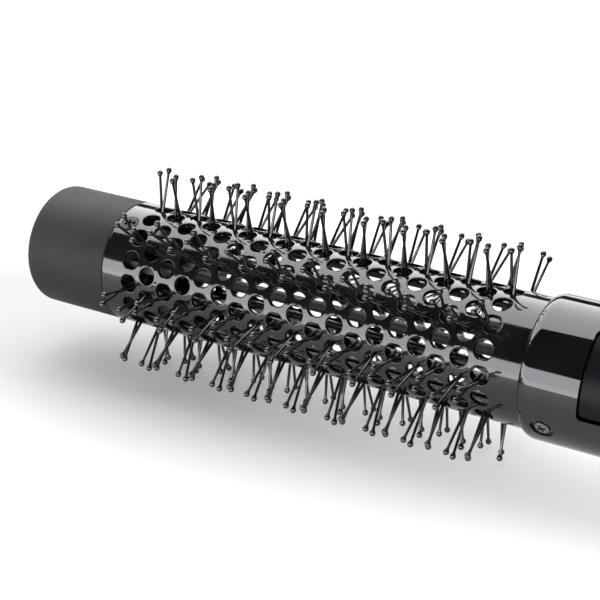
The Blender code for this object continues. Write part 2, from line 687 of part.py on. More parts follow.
def make_shells(controls):
    """Upper half with the control window and lower half with the screw holes."""
    relative = CONTROL_ANGLE - COLLAR_SCREW_ANGLE
    top = piece("handle_shell_top", half_shell(1), "gloss_black", parent=controls)
    fuse(top, *(shell_boss(x, 1) for x in boss_places()))
    low, high = COLLAR_RADIUS - 3 * SHELL_WALL, COLLAR_RADIUS + MM
    window = sector((WINDOW, WINDOW + WINDOW_LENGTH), (low, high), WINDOW_HALF_ANGLE, 9)
    bolt = SCREW_SHANK - GAP
    pilots = [disc_post(x, 0.0, 9 * MM, bolt + GAP, 8) for x in boss_places()]
    cut(top, window, collar_screw_pocket(relative), *pilots)
    bottom = piece("handle_shell_bottom", half_shell(-1), "gloss_black", parent=controls)
    fuse(bottom, *(shell_boss(x, -1) for x in boss_places()))
    holes = []
    for x in boss_places():
        wall = handle_radius(x)
        profile = [(-wall - MM, 0.0), (-wall - MM, 2.6 * MM), (-0.5 * wall, 2.6 * MM),
                   (-0.5 * wall, bolt + GAP), (MM, bolt + GAP), (MM, 0.0)]
        holes.append(upright(turned(profile, 10), x))
    cut(bottom, collar_screw_pocket(relative + math.pi), *holes)
    for number, x in enumerate(boss_places(), 1):
        seat = -0.5 * handle_radius(x) - GAP
        profile = [(seat - 1.6 * MM, 0.0), (seat - 1.6 * MM, 2.2 * MM), (seat, 2.2 * MM),
                   (seat, bolt), (7 * MM, bolt), (7 * MM, 0.0)]
        fixing = piece(f"handle_screw_{number}", upright(turned(profile, 10), x), "steel",
                       parent=controls)
        cross = prism(CROSS_RECESS, seat - 2.0 * MM, seat - 0.8 * MM)
        cut(fixing, upright(cross, x))


def make_collar_screws():
    """Pan-head screws through the collar, the barrel and the spider."""
    x = REAR_SEAM + COLLAR_SCREW_PLACE
    seat = COLLAR_RADIUS - SHELL_WALL + 0.5 * MM + GAP
    stations = [(COLLAR_RADIUS - 0.05 * MM, 1.9 * MM), (COLLAR_RADIUS - 0.3 * MM, 2.2 * MM),
                (seat, 2.2 * MM), (seat, SCREW_SHANK),
                (GUIDE_RADIUS - SPIDER_RING, SCREW_SHANK)]
    for number, side in ((1, 0.0), (2, math.pi)):
        screw(f"collar_screw_{number}", x, COLLAR_SCREW_ANGLE + side, stations, 0.45 * MM)


# ---------------------------------------------------------------- controls

def make_controls(controls):
    """Panel in the window, slide switch, cool button and their switches."""
    start, end = WINDOW + GAP, WINDOW + WINDOW_LENGTH - GAP
    low = PANEL_RADIUS - PANEL_THICKNESS
    margin = 1.6 * GAP / COLLAR_RADIUS
    panel = piece("control_panel",
                  sector((start, end), (low, PANEL_RADIUS), WINDOW_HALF_ANGLE - margin),
                  "satin_grey", parent=controls)
    stem_half = SLIDER_STEM / 2
    slider_x = WINDOW + SLIDER_START
    stem_x = slider_x + SLIDER_LENGTH / 2
    button_x = WINDOW + BUTTON_PLACE
    slot = block((stem_x - stem_half - GAP, stem_x + stem_half + SLIDER_TRAVEL + GAP),
                 (-stem_half - GAP, stem_half + GAP), (low - 2 * MM, PANEL_RADIUS + MM))
    button_hole = disc_post(button_x, low - 2 * MM, PANEL_RADIUS + MM, BUTTON_RADIUS + GAP, 16)
    cut(panel, slot, button_hole)

    top = PANEL_RADIUS + GAP
    switch_top = low - 1.2 * MM
    slider = piece("slider_knob",
                   block((slider_x, slider_x + SLIDER_LENGTH),
                         (-SLIDER_WIDTH / 2, SLIDER_WIDTH / 2), (top, top + SLIDER_HEIGHT)),
                   "soft_touch_black", parent=controls)
    fuse(slider, block((stem_x - stem_half, stem_x + stem_half), (-stem_half, stem_half),
                       (switch_top + GAP, top + MM)))
    switch_low = HEAT_TUBE_RADIUS + 0.2 * MM
    piece("slide_switch", block((slider_x - 2 * MM, slider_x + 19 * MM), (-4 * MM, 4 * MM),
                                (switch_low, switch_top)), "inner_black", parent=controls)

    stand = PANEL_RADIUS + BUTTON_STAND
    rim = BUTTON_RADIUS + 0.9 * MM
    flange = math.sqrt(low * low - rim * rim) - GAP
    profile = [(flange - 0.6 * MM, 0.0), (flange - 0.6 * MM, rim), (flange, rim),
               (flange, BUTTON_RADIUS),
               (stand - 0.5 * MM, BUTTON_RADIUS), (stand, BUTTON_RADIUS - 0.5 * MM),
               (stand, 0.0)]
    piece("cool_button", upright(turned(profile, 16), button_x), "soft_touch_black",
          parent=controls)
    switch_half = 3.5 * MM
    button_base = flange - 0.6 * MM - BUTTON_TRAVEL - GAP
    piece("button_switch", block((button_x - switch_half, button_x + switch_half),
                                 (-switch_half, switch_half), (switch_low, button_base)),
          "inner_black", parent=controls)


# ---------------------------------------------------------------- heater, fan and motor

def make_heater():
    """Sheet tube, crossed boards, wire and the two heat cut-outs."""
    start, end = HEAT_TUBE, HEAT_TUBE + HEAT_TUBE_LENGTH
    outer, inner = HEAT_TUBE_RADIUS, HEAT_TUBE_RADIUS - HEAT_TUBE_WALL
    flange = GUIDE_RADIUS
    shoulder = start + HEAT_TUBE_FLANGE
    profile = [(start, inner), (start, flange), (shoulder, flange), (shoulder, outer),
               (end, outer), (end, inner)]
    piece("heat_tube", turned(profile, 24), "aluminium")
    front, rear = start + BOARD_SETBACK, start + BOARD_SETBACK + BOARD_LENGTH
    middle = (front + rear) / 2
    half = BOARD_THICKNESS / 2
    for name, roll, slot_range in (("heater_board_1", 0.0, (front - MM, middle + GAP)),
                                   ("heater_board_2", math.pi / 2, (middle, rear + MM))):
        board = piece(name, block((front, rear), (-half, half), (-BOARD_HALF, BOARD_HALF)),
                      "mica", turn_to(CONTROL_ANGLE) + math.pi / 4 + roll)
        gap = half + GAP
        cut(board, block(slot_range, (-MM, MM), (-gap, gap)))
    sides = 12
    coil_radius = (BOARD_HALF + COIL_WIRE + GAP) / math.cos(math.pi / sides)
    steps = sides * COIL_TURNS
    places = spread(front + COIL_SETBACK, rear - COIL_SETBACK, steps + 1)
    points = [around(math.tau * n / sides, coil_radius, x) for n, x in enumerate(places)]
    curve = bpy.data.curves.new("heater_coil", "CURVE")
    curve.dimensions = "3D"
    curve.bevel_depth = COIL_WIRE
    curve.bevel_resolution = 0
    curve.use_fill_caps = True
    spline = curve.splines.new("POLY")
    spline.points.add(len(points) - 1)
    for target, point in zip(spline.points, points):
        target.co = (*point, 1.0)
    curve.materials.append(finish_material("steel"))
    placed("heater_coil", curve)
    roll = turn_to(CONTROL_ANGLE)
    low, high = middle - CUT_OUT_LENGTH / 2, middle + CUT_OUT_LENGTH / 2
    piece("thermostat", block((low, high), (-2.2 * MM, 2.2 * MM), (3.2 * MM, 6.5 * MM)),
          "steel", roll)
    fuse_height = 4 * MM
    fuse_link = rod((low, 0, fuse_height), (high, 0, fuse_height), 1.2 * MM, 8)
    piece("thermal_fuse", rolled(fuse_link, math.pi), "copper", roll)


def make_fan():
    """Impeller on the motor shaft, shroud with motor mount, motor and board."""
    hub_end = FAN + FAN_LENGTH
    bore = SHAFT_RADIUS + GAP
    hub = piece("fan_impeller", turned([(FAN, bore), (FAN, 0.7 * FAN_HUB),
                                        (FAN + 0.3 * FAN_LENGTH, FAN_HUB), (hub_end, FAN_HUB),
                                        (hub_end, bore)], 14), "inner_black")
    blades = []
    for n in range(FAN_BLADES):
        blade = block((-0.42 * FAN_LENGTH, 0.42 * FAN_LENGTH), (-BLADE_HALF, BLADE_HALF),
                      (0.82 * FAN_HUB, FAN_RADIUS))
        bmesh.ops.rotate(blade, cent=(0, 0, 0), matrix=Matrix.Rotation(BLADE_PITCH, 3, "Z"),
                         verts=blade.verts)
        bmesh.ops.translate(blade, verts=blade.verts, vec=((FAN + hub_end) / 2, 0, 0))
        blades.append(rolled(blade, n * math.tau / FAN_BLADES))
    fuse(hub, *blades)
    shaft = [(FAN - MM, 0.0), (FAN - MM, SHAFT_RADIUS), (MOTOR + 4 * MM, SHAFT_RADIUS),
             (MOTOR + 4 * MM, 0.0)]
    piece("motor_shaft", turned(shaft, 10), "steel")
    motor_end = MOTOR + MOTOR_LENGTH
    motor = [(MOTOR - MM, bore), (MOTOR - MM, MOTOR_NOSE), (MOTOR, MOTOR_NOSE),
             (MOTOR, MOTOR_RADIUS),
             (motor_end, MOTOR_RADIUS), (motor_end, 0.0), (MOTOR + 5 * MM, 0.0),
             (MOTOR + 5 * MM, bore)]
    piece("motor", turned_open(motor, 20), "steel")
    outer = GRIP_RADIUS - SHELL_WALL - 2 * GAP
    inner = FAN_RADIUS + 2.5 * GAP
    shroud_start, shroud_end = FAN - 2 * MM, MOTOR + 9 * MM
    shroud = piece("motor_mount", turned([(shroud_start, inner), (shroud_start, outer),
                                          (shroud_end, outer), (shroud_end, inner)], 24),
                   "inner_black")
    clamp = MOTOR_RADIUS + 2 * GAP
    vanes = [rolled(block((MOTOR + 2 * MM, shroud_end), (-0.6 * MM, 0.6 * MM),
                          (clamp, inner + 0.5 * MM)), n * math.tau / VANES)
             for n in range(VANES)]
    fuse(shroud, *vanes)
    board = [(BOARD, 0.0), (BOARD, 10 * MM), (BOARD + 1.6 * MM, 10 * MM), (BOARD + 1.6 * MM, 0.0)]
    piece("rectifier_board", turned(board, 20), "circuit_green")
    parts_start = BOARD + 1.6 * MM + GAP
    piece("rectifier_block", block((parts_start, parts_start + 5 * MM), (-4 * MM, 4 * MM),
                                   (-3 * MM, 3 * MM)), "inner_black")


# ---------------------------------------------------------------- intake and gland

def make_intake():
    """Grille on the handle's end, with the lint screen and the swivelling cord gland."""
    start, end = HANDLE_END + GAP, HANDLE_END + GRILLE_LENGTH
    outer = GRIP_RADIUS
    spigot = outer - SHELL_WALL - 2 * GAP
    wall, edge, count = GRILLE_WALL, GRILLE_EDGE, GRILLE_SLOTS
    bore = GLAND_RADIUS + GAP
    spigot_start = start - SPIGOT_LENGTH
    rounded = [(end - edge + edge * math.sin(turn), outer - edge + edge * math.cos(turn))
               for turn in spread(0.0, math.pi / 2, 4)]
    profile = [(spigot_start, spigot - wall), (spigot_start, spigot), (start, spigot),
               (start, outer), *rounded, (end, bore), (end - wall, bore),
               (end - wall, spigot - wall)]
    grille = piece("intake_grille", turned(profile), "soft_touch_black")
    slots = [rolled(block((end - 2.5 * wall, end + MM), (-0.9 * MM, 0.9 * MM),
                          (bore + 1.6 * MM, outer - edge - 1.2 * MM)), n * math.tau / count)
             for n in range(count)]
    cut(grille, *slots)
    screen_x = end - wall - 2.2 * MM
    screen_end = screen_x + 0.6 * MM
    screen_radius = spigot - wall - 2 * GAP
    hub = GLAND_RADIUS + 2.6 * MM
    screen = piece("lint_screen", turned([(screen_x, hub), (screen_x, screen_radius),
                                          (screen_end, screen_radius), (screen_end, hub)]),
                   "steel")
    middle = (hub + screen_radius) / 2
    cut(screen, *(rolled(block((screen_x - MM, screen_x + 2 * MM), (-MM, MM),
                               (middle - 1.4 * MM, middle + 1.4 * MM)), (n + 0.5) * math.tau / count)
                  for n in range(count)))
    flange = end - wall - GAP
    flange_start, flange_radius = flange - 1.2 * MM, GLAND_RADIUS + 1.6 * MM
    gland = [(flange_start, GLAND_BORE), (flange_start, flange_radius),
             (flange, flange_radius), (flange, GLAND_RADIUS),
             (end + 0.55 * GLAND_LENGTH, GLAND_RADIUS),
             (end + 0.85 * GLAND_LENGTH, 0.85 * GLAND_RADIUS),
             (end + GLAND_LENGTH, 0.75 * GLAND_RADIUS), (end + GLAND_LENGTH, GLAND_BORE)]
    piece("swivel_gland", turned(gland, 20), "inner_black")


def main():
    """Build the whole brush."""
    clear_scene()
    controls = bpy.data.objects.new("control_side", None)
    controls.rotation_euler.x = turn_to(CONTROL_ANGLE)
    bpy.context.collection.objects.link(controls)
    make_knob()
    make_scroll("front_scroll", FRONT_SCROLL, "inner_black", with_air_slots=False)
    make_scroll("rear_scroll", REAR_SCROLL, "inner_black", with_air_slots=True)
    make_guides()
    make_strips()
    make_barrel()
    make_tip_screws()
    make_neck_spider()
    make_shells(controls)
    make_collar_screws()
    make_controls(controls)
    make_heater()
    make_fan()
    make_intake()


main()
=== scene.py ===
"""Looks of the hot air brush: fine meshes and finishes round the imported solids."""
import logging
import math
from collections.abc import Iterable, Sequence
from dataclasses import dataclass, field
from enum import Enum
from functools import cache

import bmesh
import bpy
from mathutils import Matrix, Vector


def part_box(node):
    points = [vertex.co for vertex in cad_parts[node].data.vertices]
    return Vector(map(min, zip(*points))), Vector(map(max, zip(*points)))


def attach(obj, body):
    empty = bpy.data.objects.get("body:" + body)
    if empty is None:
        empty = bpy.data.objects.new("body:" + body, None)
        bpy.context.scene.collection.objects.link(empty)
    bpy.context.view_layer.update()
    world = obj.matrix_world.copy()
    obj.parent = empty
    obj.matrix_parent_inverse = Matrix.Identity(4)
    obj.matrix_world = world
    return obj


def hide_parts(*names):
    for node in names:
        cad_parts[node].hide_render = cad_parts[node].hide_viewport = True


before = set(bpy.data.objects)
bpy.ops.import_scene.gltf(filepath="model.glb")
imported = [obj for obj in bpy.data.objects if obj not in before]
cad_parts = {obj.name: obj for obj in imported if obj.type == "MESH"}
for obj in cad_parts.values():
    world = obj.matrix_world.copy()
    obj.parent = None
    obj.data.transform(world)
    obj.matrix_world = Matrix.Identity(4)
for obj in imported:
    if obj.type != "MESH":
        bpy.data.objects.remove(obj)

log = logging.getLogger("hot_air_brush")

MM = 0.001
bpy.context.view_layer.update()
UP = math.pi / 2
CONTROL_ANGLE = math.radians(29.0)      # where the controls face, from -Y towards +Z

Point2 = tuple[float, float]
Triple = tuple[float, float, float]
Mesh = bmesh.types.BMesh
Layers = tuple[bpy.types.NodeSocket, bpy.types.NodeSocket, bpy.types.NodeSocket]
BODY_HANDLE = "handle"
BODY_KNOB = "twist_knob"
TIP_SCREWS = ("tip_screw_1", "tip_screw_2")
COLLAR_SCREWS = ("collar_screw_1", "collar_screw_2")
SHANK_HOLE = 1.4 * MM
WINDOW_HALF = math.radians(36.0)        # half the angle of the control window


# ---- reading the frame

@cache
def reach(node: str) -> float:
    """Largest distance of a CAD node's points from the brush axis."""
    return max(math.hypot(v.co.y, v.co.z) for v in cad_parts[node].data.vertices)


@cache
def span(node: str) -> tuple[float, float]:
    """First and last X of a CAD node."""
    low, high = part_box(node)
    return low.x, high.x


# ---- mesh tools

def around(angle: float, radius: float, x: float = 0.0) -> Vector:
    """Point at an angle from -Y towards +Z, at a distance from the axis and a place along it."""
    return Vector((x, -radius * math.cos(angle), radius * math.sin(angle)))


def steps_between(start: float, stop: float, count: int) -> list[float]:
    """Evenly spaced values that include both ends."""
    return [start + (stop - start) * i / (count - 1) for i in range(count)]


def arc(centre: Point2, radius: float, start: float, stop: float, count: int) -> list[Point2]:
    """Points of a round corner in a turned profile.

    Args:
        centre: Centre of the corner as (x, radius).
        radius: Radius of the corner.
        start: First angle in degrees, from +X towards larger radius.
        stop: Last angle in degrees.
        count: How many points.

    Returns:
        Profile points.
    """
    turns = (math.radians(turn) for turn in steps_between(start, stop, count))
    return [(centre[0] + radius * math.cos(t), centre[1] + radius * math.sin(t)) for t in turns]


def lathe(profile: Sequence[Point2], steps: int = 96) -> Mesh:
    """Turn a profile about the X axis.

    Args:
        profile: (x, radius) points; one that starts off the axis is closed on itself.
        steps: Divisions round the axis.

    Returns:
        A closed mesh.
    """
    bm = bmesh.new()
    verts = [bm.verts.new((x, 0.0, radius)) for x, radius in profile]
    pairs = list(zip(verts, verts[1:]))
    if profile[0][1] > 0.0:
        pairs.append((verts[-1], verts[0]))
    edges = [bm.edges.new(pair) for pair in pairs]
    bmesh.ops.spin(bm, geom=verts + edges, cent=(0, 0, 0), axis=(1, 0, 0),
                   angle=math.tau, steps=steps, use_merge=True)
    return welded(bm)


def welded(bm: Mesh) -> Mesh:
    """Merge doubles and turn the faces outwards.

    Args:
        bm: The closed mesh, which is changed in place.

    Returns:
        The same mesh.
    """
    bmesh.ops.remove_doubles(bm, verts=bm.verts, dist=1e-6)
    bmesh.ops.recalc_face_normals(bm, faces=bm.faces)
    return bm


def extruded(outline: Sequence[Point2], low: float, high: float) -> Mesh:
    """Draw an (x, y) outline up along Z.

    Args:
        outline: Points of the outline in order.
        low: Lowest Z.
        high: Highest Z.

    Returns:
        A closed mesh.
    """
    bm = bmesh.new()
    face = bm.faces.new([bm.verts.new((x, y, low)) for x, y in outline])
    drawn = bmesh.ops.extrude_face_region(bm, geom=[face], use_keep_orig=True)
    moved = [item for item in drawn["geom"] if isinstance(item, bmesh.types.BMVert)]
    bmesh.ops.translate(bm, verts=moved, vec=(0, 0, high - low))
    return welded(bm)


def rounded_box(size: Triple, centre: Sequence[float],
                radius: float, segments: int = 3) -> Mesh:
    """Box with all its edges rounded.

    Args:
        size: Length along X, Y and Z.
        centre: Middle of the box.
        radius: Radius of the edges.
        segments: Divisions of each rounding.

    Returns:
        A closed mesh.
    """
    bm = bmesh.new()
    bmesh.ops.create_cube(bm, size=1.0)
    bmesh.ops.scale(bm, vec=size, verts=bm.verts)
    rounded(bm, bm.edges[:], radius, segments)
    bmesh.ops.translate(bm, verts=bm.verts, vec=centre)
    return bm


def rounded(bm: Mesh, edges: Iterable[bmesh.types.BMEdge], radius: float,
            segments: int = 3) -> Mesh:
    """Round edges of a mesh.

    Args:
        bm: The mesh.
        edges: The edges to round.
        radius: Width of the rounding.
        segments: Divisions of the rounding.

    Returns:
        The same mesh.
    """
    bmesh.ops.bevel(bm, geom=list(edges), offset=radius, offset_type="OFFSET",
                    affect="EDGES", segments=segments, profile=0.5, material=-1,
                    clamp_overlap=True)
    return bm


def sharp_edges(bm: Mesh, degrees: float = 40.0) -> list[bmesh.types.BMEdge]:
    """Edges whose two faces meet at more than an angle in degrees."""
    limit = math.radians(degrees)
    return [edge for edge in bm.edges
            if len(edge.link_faces) == 2 and edge.calc_face_angle() > limit]


def transformed(bm: Mesh, matrix: Matrix) -> Mesh:
    """Move a mesh by a matrix and return it."""
    bmesh.ops.transform(bm, matrix=matrix, verts=bm.verts)
    return bm


def bent(section: Sequence[Point2], sweep: float, steps: int) -> Mesh:
    """Sweep an (x, radius) section round the axis, evenly to both sides of up.

    Args:
        section: Points of the section; a negative radius turns it down.
        sweep: Angle of the sweep.
        steps: Divisions of the sweep.

    Returns:
        A closed mesh.
    """
    bm = bmesh.new()
    face = bm.faces.new([bm.verts.new((x, 0, radius)) for x, radius in section])
    bmesh.ops.rotate(bm, cent=(0, 0, 0), matrix=Matrix.Rotation(-sweep / 2, 3, "X"),
                     verts=bm.verts)
    bmesh.ops.spin(bm, geom=[face, *face.edges, *face.verts], cent=(0, 0, 0),
                   axis=(1, 0, 0), angle=sweep, steps=steps)
    return welded(bm)


def facing(angle: float) -> Matrix:
    """Matrix that turns a piece modelled pointing up to an angle round the axis."""
    return Matrix.Rotation(UP - angle, 4, "X")


def standing(x: float) -> Matrix:
    """Matrix that stands a piece turned about X upright on the axis at a place."""
    return Matrix.Translation((x, 0, 0)) @ Matrix.Rotation(-UP, 4, "Y")


def gathered(parts: Iterable[Mesh]) -> Mesh:
    """Put several meshes into one.

    Args:
        parts: The meshes, which are freed.

    Returns:
        One mesh that holds them all.
    """
    whole = bmesh.new()
    carrier = bpy.data.meshes.new("carrier")
    for part in parts:
        part.to_mesh(carrier)
        part.free()
        whole.from_mesh(carrier)
    bpy.data.meshes.remove(carrier)
    return whole


def plus_outline(arm: float, half_width: float) -> list[Point2]:
    """Outline of a cross recess.

    Args:
        arm: Length of each arm from the middle.
        half_width: Half the width of an arm.

    Returns:
        Points of the outline.
    """
    corner = [(arm, -half_width), (arm, half_width), (half_width, half_width)]
    outline: list[Point2] = []
    for quarter in range(4):
        turn = Matrix.Rotation(quarter * UP, 2)
        outline += [tuple(turn @ Vector(point)) for point in corner]
    return outline


def rounded_rectangle(x_range: Point2, half_width: float, radius: float) -> list[Point2]:
    """Outline of a window with round corners.

    Args:
        x_range: First and last X.
        half_width: Half the width across Y.
        radius: Radius of the corners.

    Returns:
        Points of the outline.
    """
    low, high = x_range
    corners = ((high - radius, half_width - radius, 0), (low + radius, half_width - radius, 90),
               (low + radius, radius - half_width, 180), (high - radius, radius - half_width, 270))
    outline: list[Point2] = []
    for x, y, start in corners:
        outline += arc((x, y), radius, start, start + 90, 7)
    return outline


class Piece:
    """A visible piece: a mesh, a finish, a body to ride on and the nodes it stands for."""

    def __init__(self, name: str, bm: Mesh, crease: float = 32.0) -> None:
        """Make the object.

        Args:
            name: Name of the piece.
            bm: Its mesh, which is freed.
            crease: Angle in degrees past which an edge stays sharp.
        """
        mesh = bpy.data.meshes.new(name)
        bm.to_mesh(mesh)
        bm.free()
        mesh.shade_smooth()
        mesh.set_sharp_from_angle(angle=math.radians(crease))
        self.object = bpy.data.objects.new(name, mesh)
        bpy.context.collection.objects.link(self.object)

    def cut(self, tool: Mesh, operation: str = "DIFFERENCE", crease: float = 32.0) -> "Piece":
        """Apply a Boolean with a mesh.

        Args:
            tool: The other mesh, which is freed.
            operation: DIFFERENCE, UNION or INTERSECT.
            crease: Angle in degrees past which an edge stays sharp.

        Returns:
            The piece.
        """
        mesh = bpy.data.meshes.new("tool")
        tool.to_mesh(mesh)
        tool.free()
        helper = bpy.data.objects.new("tool", mesh)
        bpy.context.collection.objects.link(helper)
        boolean = self.object.modifiers.new("cut", "BOOLEAN")
        boolean.operation = operation
        boolean.solver = "EXACT"
        boolean.object = helper
        graph = bpy.context.evaluated_depsgraph_get()
        made = bpy.data.meshes.new_from_object(self.object.evaluated_get(graph))
        self.object.modifiers.clear()
        old = self.object.data
        self.object.data = made
        bpy.data.meshes.remove(old)
        bpy.data.objects.remove(helper)
        bpy.data.meshes.remove(mesh)
        made.name = self.object.name
        made.shade_smooth()
        made.set_sharp_from_angle(angle=math.radians(crease))
        return self

    def soften(self, width: float) -> None:
        """Round the sharp edges with a narrow live bevel.

        Args:
            width: Width of the bevel.
        """
        bevel = self.object.modifiers.new("soft_edges", "BEVEL")
        bevel.width = width
        bevel.segments = 2
        bevel.limit_method = "ANGLE"
        bevel.angle_limit = math.radians(50)

    def dress(self, finish: "Finish", body: str, *nodes: str) -> bpy.types.Object:
        """Give the piece its finish, its body and the CAD nodes that it stands for.

        Args:
            finish: The finish.
            body: Name of the body it rides on.
            nodes: Names of the CAD nodes.

        Returns:
            The object.
        """
        self.object.data.materials.clear()
        self.object.data.materials.append(finish.material())
        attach(self.object, body)
        if nodes:
            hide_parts(*nodes)
        log.info("%s: %d faces", self.object.name, len(self.object.data.polygons))
        return self.object


# ---- finishes

class Graph:
    """Short calls for building a material's nodes."""

    def __init__(self, name: str) -> None:
        """Start a material with an empty shader.

        Args:
            name: Name of the material.
        """
        self.material = bpy.data.materials.new(name)
        self.material.use_nodes = True
        self.tree = self.material.node_tree
        self.shader = self.tree.nodes["Principled BSDF"]
        self.place = self.tree.nodes.new("ShaderNodeTexCoord").outputs["Object"]

    def node(self, kind: str, inputs: dict[str, object]) -> bpy.types.ShaderNode:
        """Add a node.

        Args:
            kind: Its type's name after ShaderNode.
            inputs: Its sockets by name, each with a value or the socket to link to it.

        Returns:
            The node.
        """
        node = self.tree.nodes.new(f"ShaderNode{kind}")
        for name, value in inputs.items():
            self.join(value, node.inputs[name])
        return node

    def join(self, value: object, socket: bpy.types.NodeSocket) -> None:
        """Link a socket to an input, or set the input's own value."""
        if isinstance(value, bpy.types.NodeSocket):
            self.tree.links.new(value, socket)
        else:
            socket.default_value = value

    def feed(self, name: str, value: object) -> None:
        """Link a socket to one of the shader's inputs, or set the input's own value."""
        self.join(value, self.shader.inputs[name])

    def stretched(self, scale: Sequence[float]) -> bpy.types.NodeSocket:
        """Object coordinates scaled along each axis."""
        return self.node("Mapping", {"Vector": self.place, "Scale": scale}).outputs["Vector"]

    def noise(self, size: float, detail: float = 3.0,
              stretch: Sequence[float] = (1.0, 1.0, 1.0)) -> bpy.types.NodeSocket:
        """Noise with blotches of about a size, some octaves of detail and a stretch."""
        return self.node("TexNoise", {"Vector": self.stretched(stretch), "Scale": 1.0 / size,
                                      "Detail": detail}).outputs["Fac"]

    def cells(self, size: float) -> bpy.types.NodeSocket:
        """Distance pattern of cells of about a given size."""
        return self.node("TexVoronoi", {"Vector": self.place,
                                        "Scale": 1.0 / size}).outputs["Distance"]

    def ramp(self, source: bpy.types.NodeSocket, *stops: tuple[float, Triple]
             ) -> bpy.types.NodeSocket:
        """Colour between two stops.

        Args:
            source: The factor.
            stops: Place and colour of each of the two stops.

        Returns:
            The colour.
        """
        node = self.node("ValToRGB", {"Fac": source})
        for element, (place, colour) in zip(node.color_ramp.elements, stops):
            element.position = place
            element.color = (*colour, 1.0)
        return node.outputs["Color"]

    def range(self, source: bpy.types.NodeSocket, out: Point2,
              given: Point2) -> bpy.types.NodeSocket:
        """Value moved from the range that it has to another.

        Args:
            source: The value.
            out: The new range.
            given: The range that it has.

        Returns:
            The moved value.
        """
        ends = zip(("From Min", "From Max", "To Min", "To Max"), (*given, *out))
        return self.node("MapRange", {"Value": source, **dict(ends)}).outputs["Result"]

    def bump(self, source: bpy.types.NodeSocket, strength: float, depth: float,
             **under: bpy.types.NodeSocket) -> bpy.types.NodeSocket:
        """Bump from a height.

        Args:
            source: The height factor.
            strength: How strong the bump is.
            depth: Height of the bump in metres.
            under: Normal, the normal of a bump below this one, or nothing.

        Returns:
            The normal.
        """
        inputs = {"Height": source, "Strength": strength, "Distance": depth, **under}
        return self.node("Bump", inputs).outputs["Normal"]

@dataclass(frozen=True)
class Finish:
    """A finish with a colour that drifts, a roughness that varies and a fine relief."""

    slot: str
    dark: Triple
    light: Triple
    roughness: Point2
    ior: float = 1.5
    metallic: float = 0.0
    patch: float = 12 * MM
    grain: float = 0.4 * MM
    relief: float = 0.01 * MM
    strength: float = 0.3
    stretch: Triple = (1.0, 1.0, 1.0)
    shade: str = "finish"
    stops: Point2 = (0.35, 0.65)
    wear: Point2 = (0.3, 0.7)

    def material(self) -> bpy.types.Material:
        """Return the material, made on first use."""
        name = f"{self.slot}_{self.shade}"
        found = bpy.data.materials.get(name)
        if found:
            return found
        graph = Graph(name)
        graph.feed("IOR", self.ior)
        graph.feed("Metallic", self.metallic)
        self.paint(graph)
        return graph.material

    def paint(self, graph: Graph) -> None:
        """Add the colour, roughness and relief nodes.

        Args:
            graph: The material's graph.
        """
        tone, wear, normal = self.layers(graph)
        low, high = self.stops
        graph.feed("Base Color", graph.ramp(tone, (low, self.dark), (high, self.light)))
        graph.feed("Roughness", graph.range(wear, self.roughness, self.wear))
        graph.feed("Normal", normal)

    def layers(self, graph: Graph) -> Layers:
        """Factor of the colour, factor of the roughness, and the normal.

        Args:
            graph: The material's graph.

        Returns:
            The three sockets.
        """
        patches = graph.noise(self.patch, 4.0, self.stretch)
        grain = graph.noise(self.grain, 2.0, self.stretch)
        return patches, patches, graph.bump(grain, self.strength, self.relief)


@dataclass(frozen=True)
class SoftTouch(Finish):
    """Rubbery coating with a fine spark-eroded grain and palm-polished patches."""

    stops: Point2 = (0.3, 0.7)

    def layers(self, graph: Graph) -> Layers:
        """Broad patches over a grain of fine cells.

        Args:
            graph: The node tree that the layers are made in.

        Returns:
            Sockets for the colour, the roughness and the relief.
        """
        patches = graph.noise(self.patch, 5.0, self.stretch)
        fine = graph.bump(graph.cells(self.grain), self.strength, self.relief)
        dust = graph.noise(self.grain * 0.4)
        return patches, patches, graph.bump(dust, 0.2, self.relief, Normal=fine)


@dataclass(frozen=True)
class GlossCoat(Finish):
    """Polished black with a faint orange peel and hairline wipe marks."""

    wear: Point2 = (0.1, 0.4)
    peel: float = 2.2 * MM

    def layers(self, graph: Graph) -> Layers:
        """Wipe marks in the roughness and a long soft ripple in the relief.

        Args:
            graph: The node tree that the layers are made in.

        Returns:
            Sockets for the colour, the roughness and the relief.
        """
        patches = graph.noise(self.patch, 4.0)
        mixed = graph.node("Math", {})
        mixed.operation = "MULTIPLY"
        graph.join(patches, mixed.inputs[0])
        graph.join(graph.noise(self.grain, 5.0, (1.0, 9.0, 3.0)), mixed.inputs[1])
        peel = graph.noise(self.peel, 1.0)
        return patches, mixed.outputs["Value"], graph.bump(peel, self.strength, self.relief)


@dataclass(frozen=True)
class MicaSheet(Finish):
    """Layered mica with pearly flakes."""

    stops: Point2 = (0.1, 0.8)
    wear: Point2 = (0.0, 1.0)

    def layers(self, graph: Graph) -> Layers:
        """Flakes of cells in the colour, the roughness and the relief."""
        flakes = graph.cells(self.patch)
        return flakes, flakes, graph.bump(flakes, self.strength, self.relief)


SOFT_TOUCH = SoftTouch("soft_touch_black", (0.010, 0.010, 0.011), (0.014, 0.014, 0.015),
                       (0.52, 0.64), ior=1.25, grain=0.25 * MM, relief=0.02 * MM, strength=0.35)
GLOSS = GlossCoat("gloss_black", (0.002, 0.002, 0.002), (0.003, 0.003, 0.003),
                  (0.03, 0.07), ior=1.5, relief=0.004 * MM, strength=0.12)
BARREL = GlossCoat("barrel_black", (0.002, 0.002, 0.002), (0.004, 0.004, 0.004),
                   (0.06, 0.12), ior=1.5, relief=0.005 * MM, strength=0.15)
NYLON = Finish("bristle_black", (0.003, 0.003, 0.003), (0.006, 0.006, 0.006), (0.12, 0.22),
               ior=1.55, grain=0.5 * MM, relief=0.01 * MM)
INNER = Finish("inner_black", (0.004, 0.004, 0.004), (0.008, 0.008, 0.008), (0.45, 0.65),
               grain=0.5 * MM, relief=0.02 * MM)
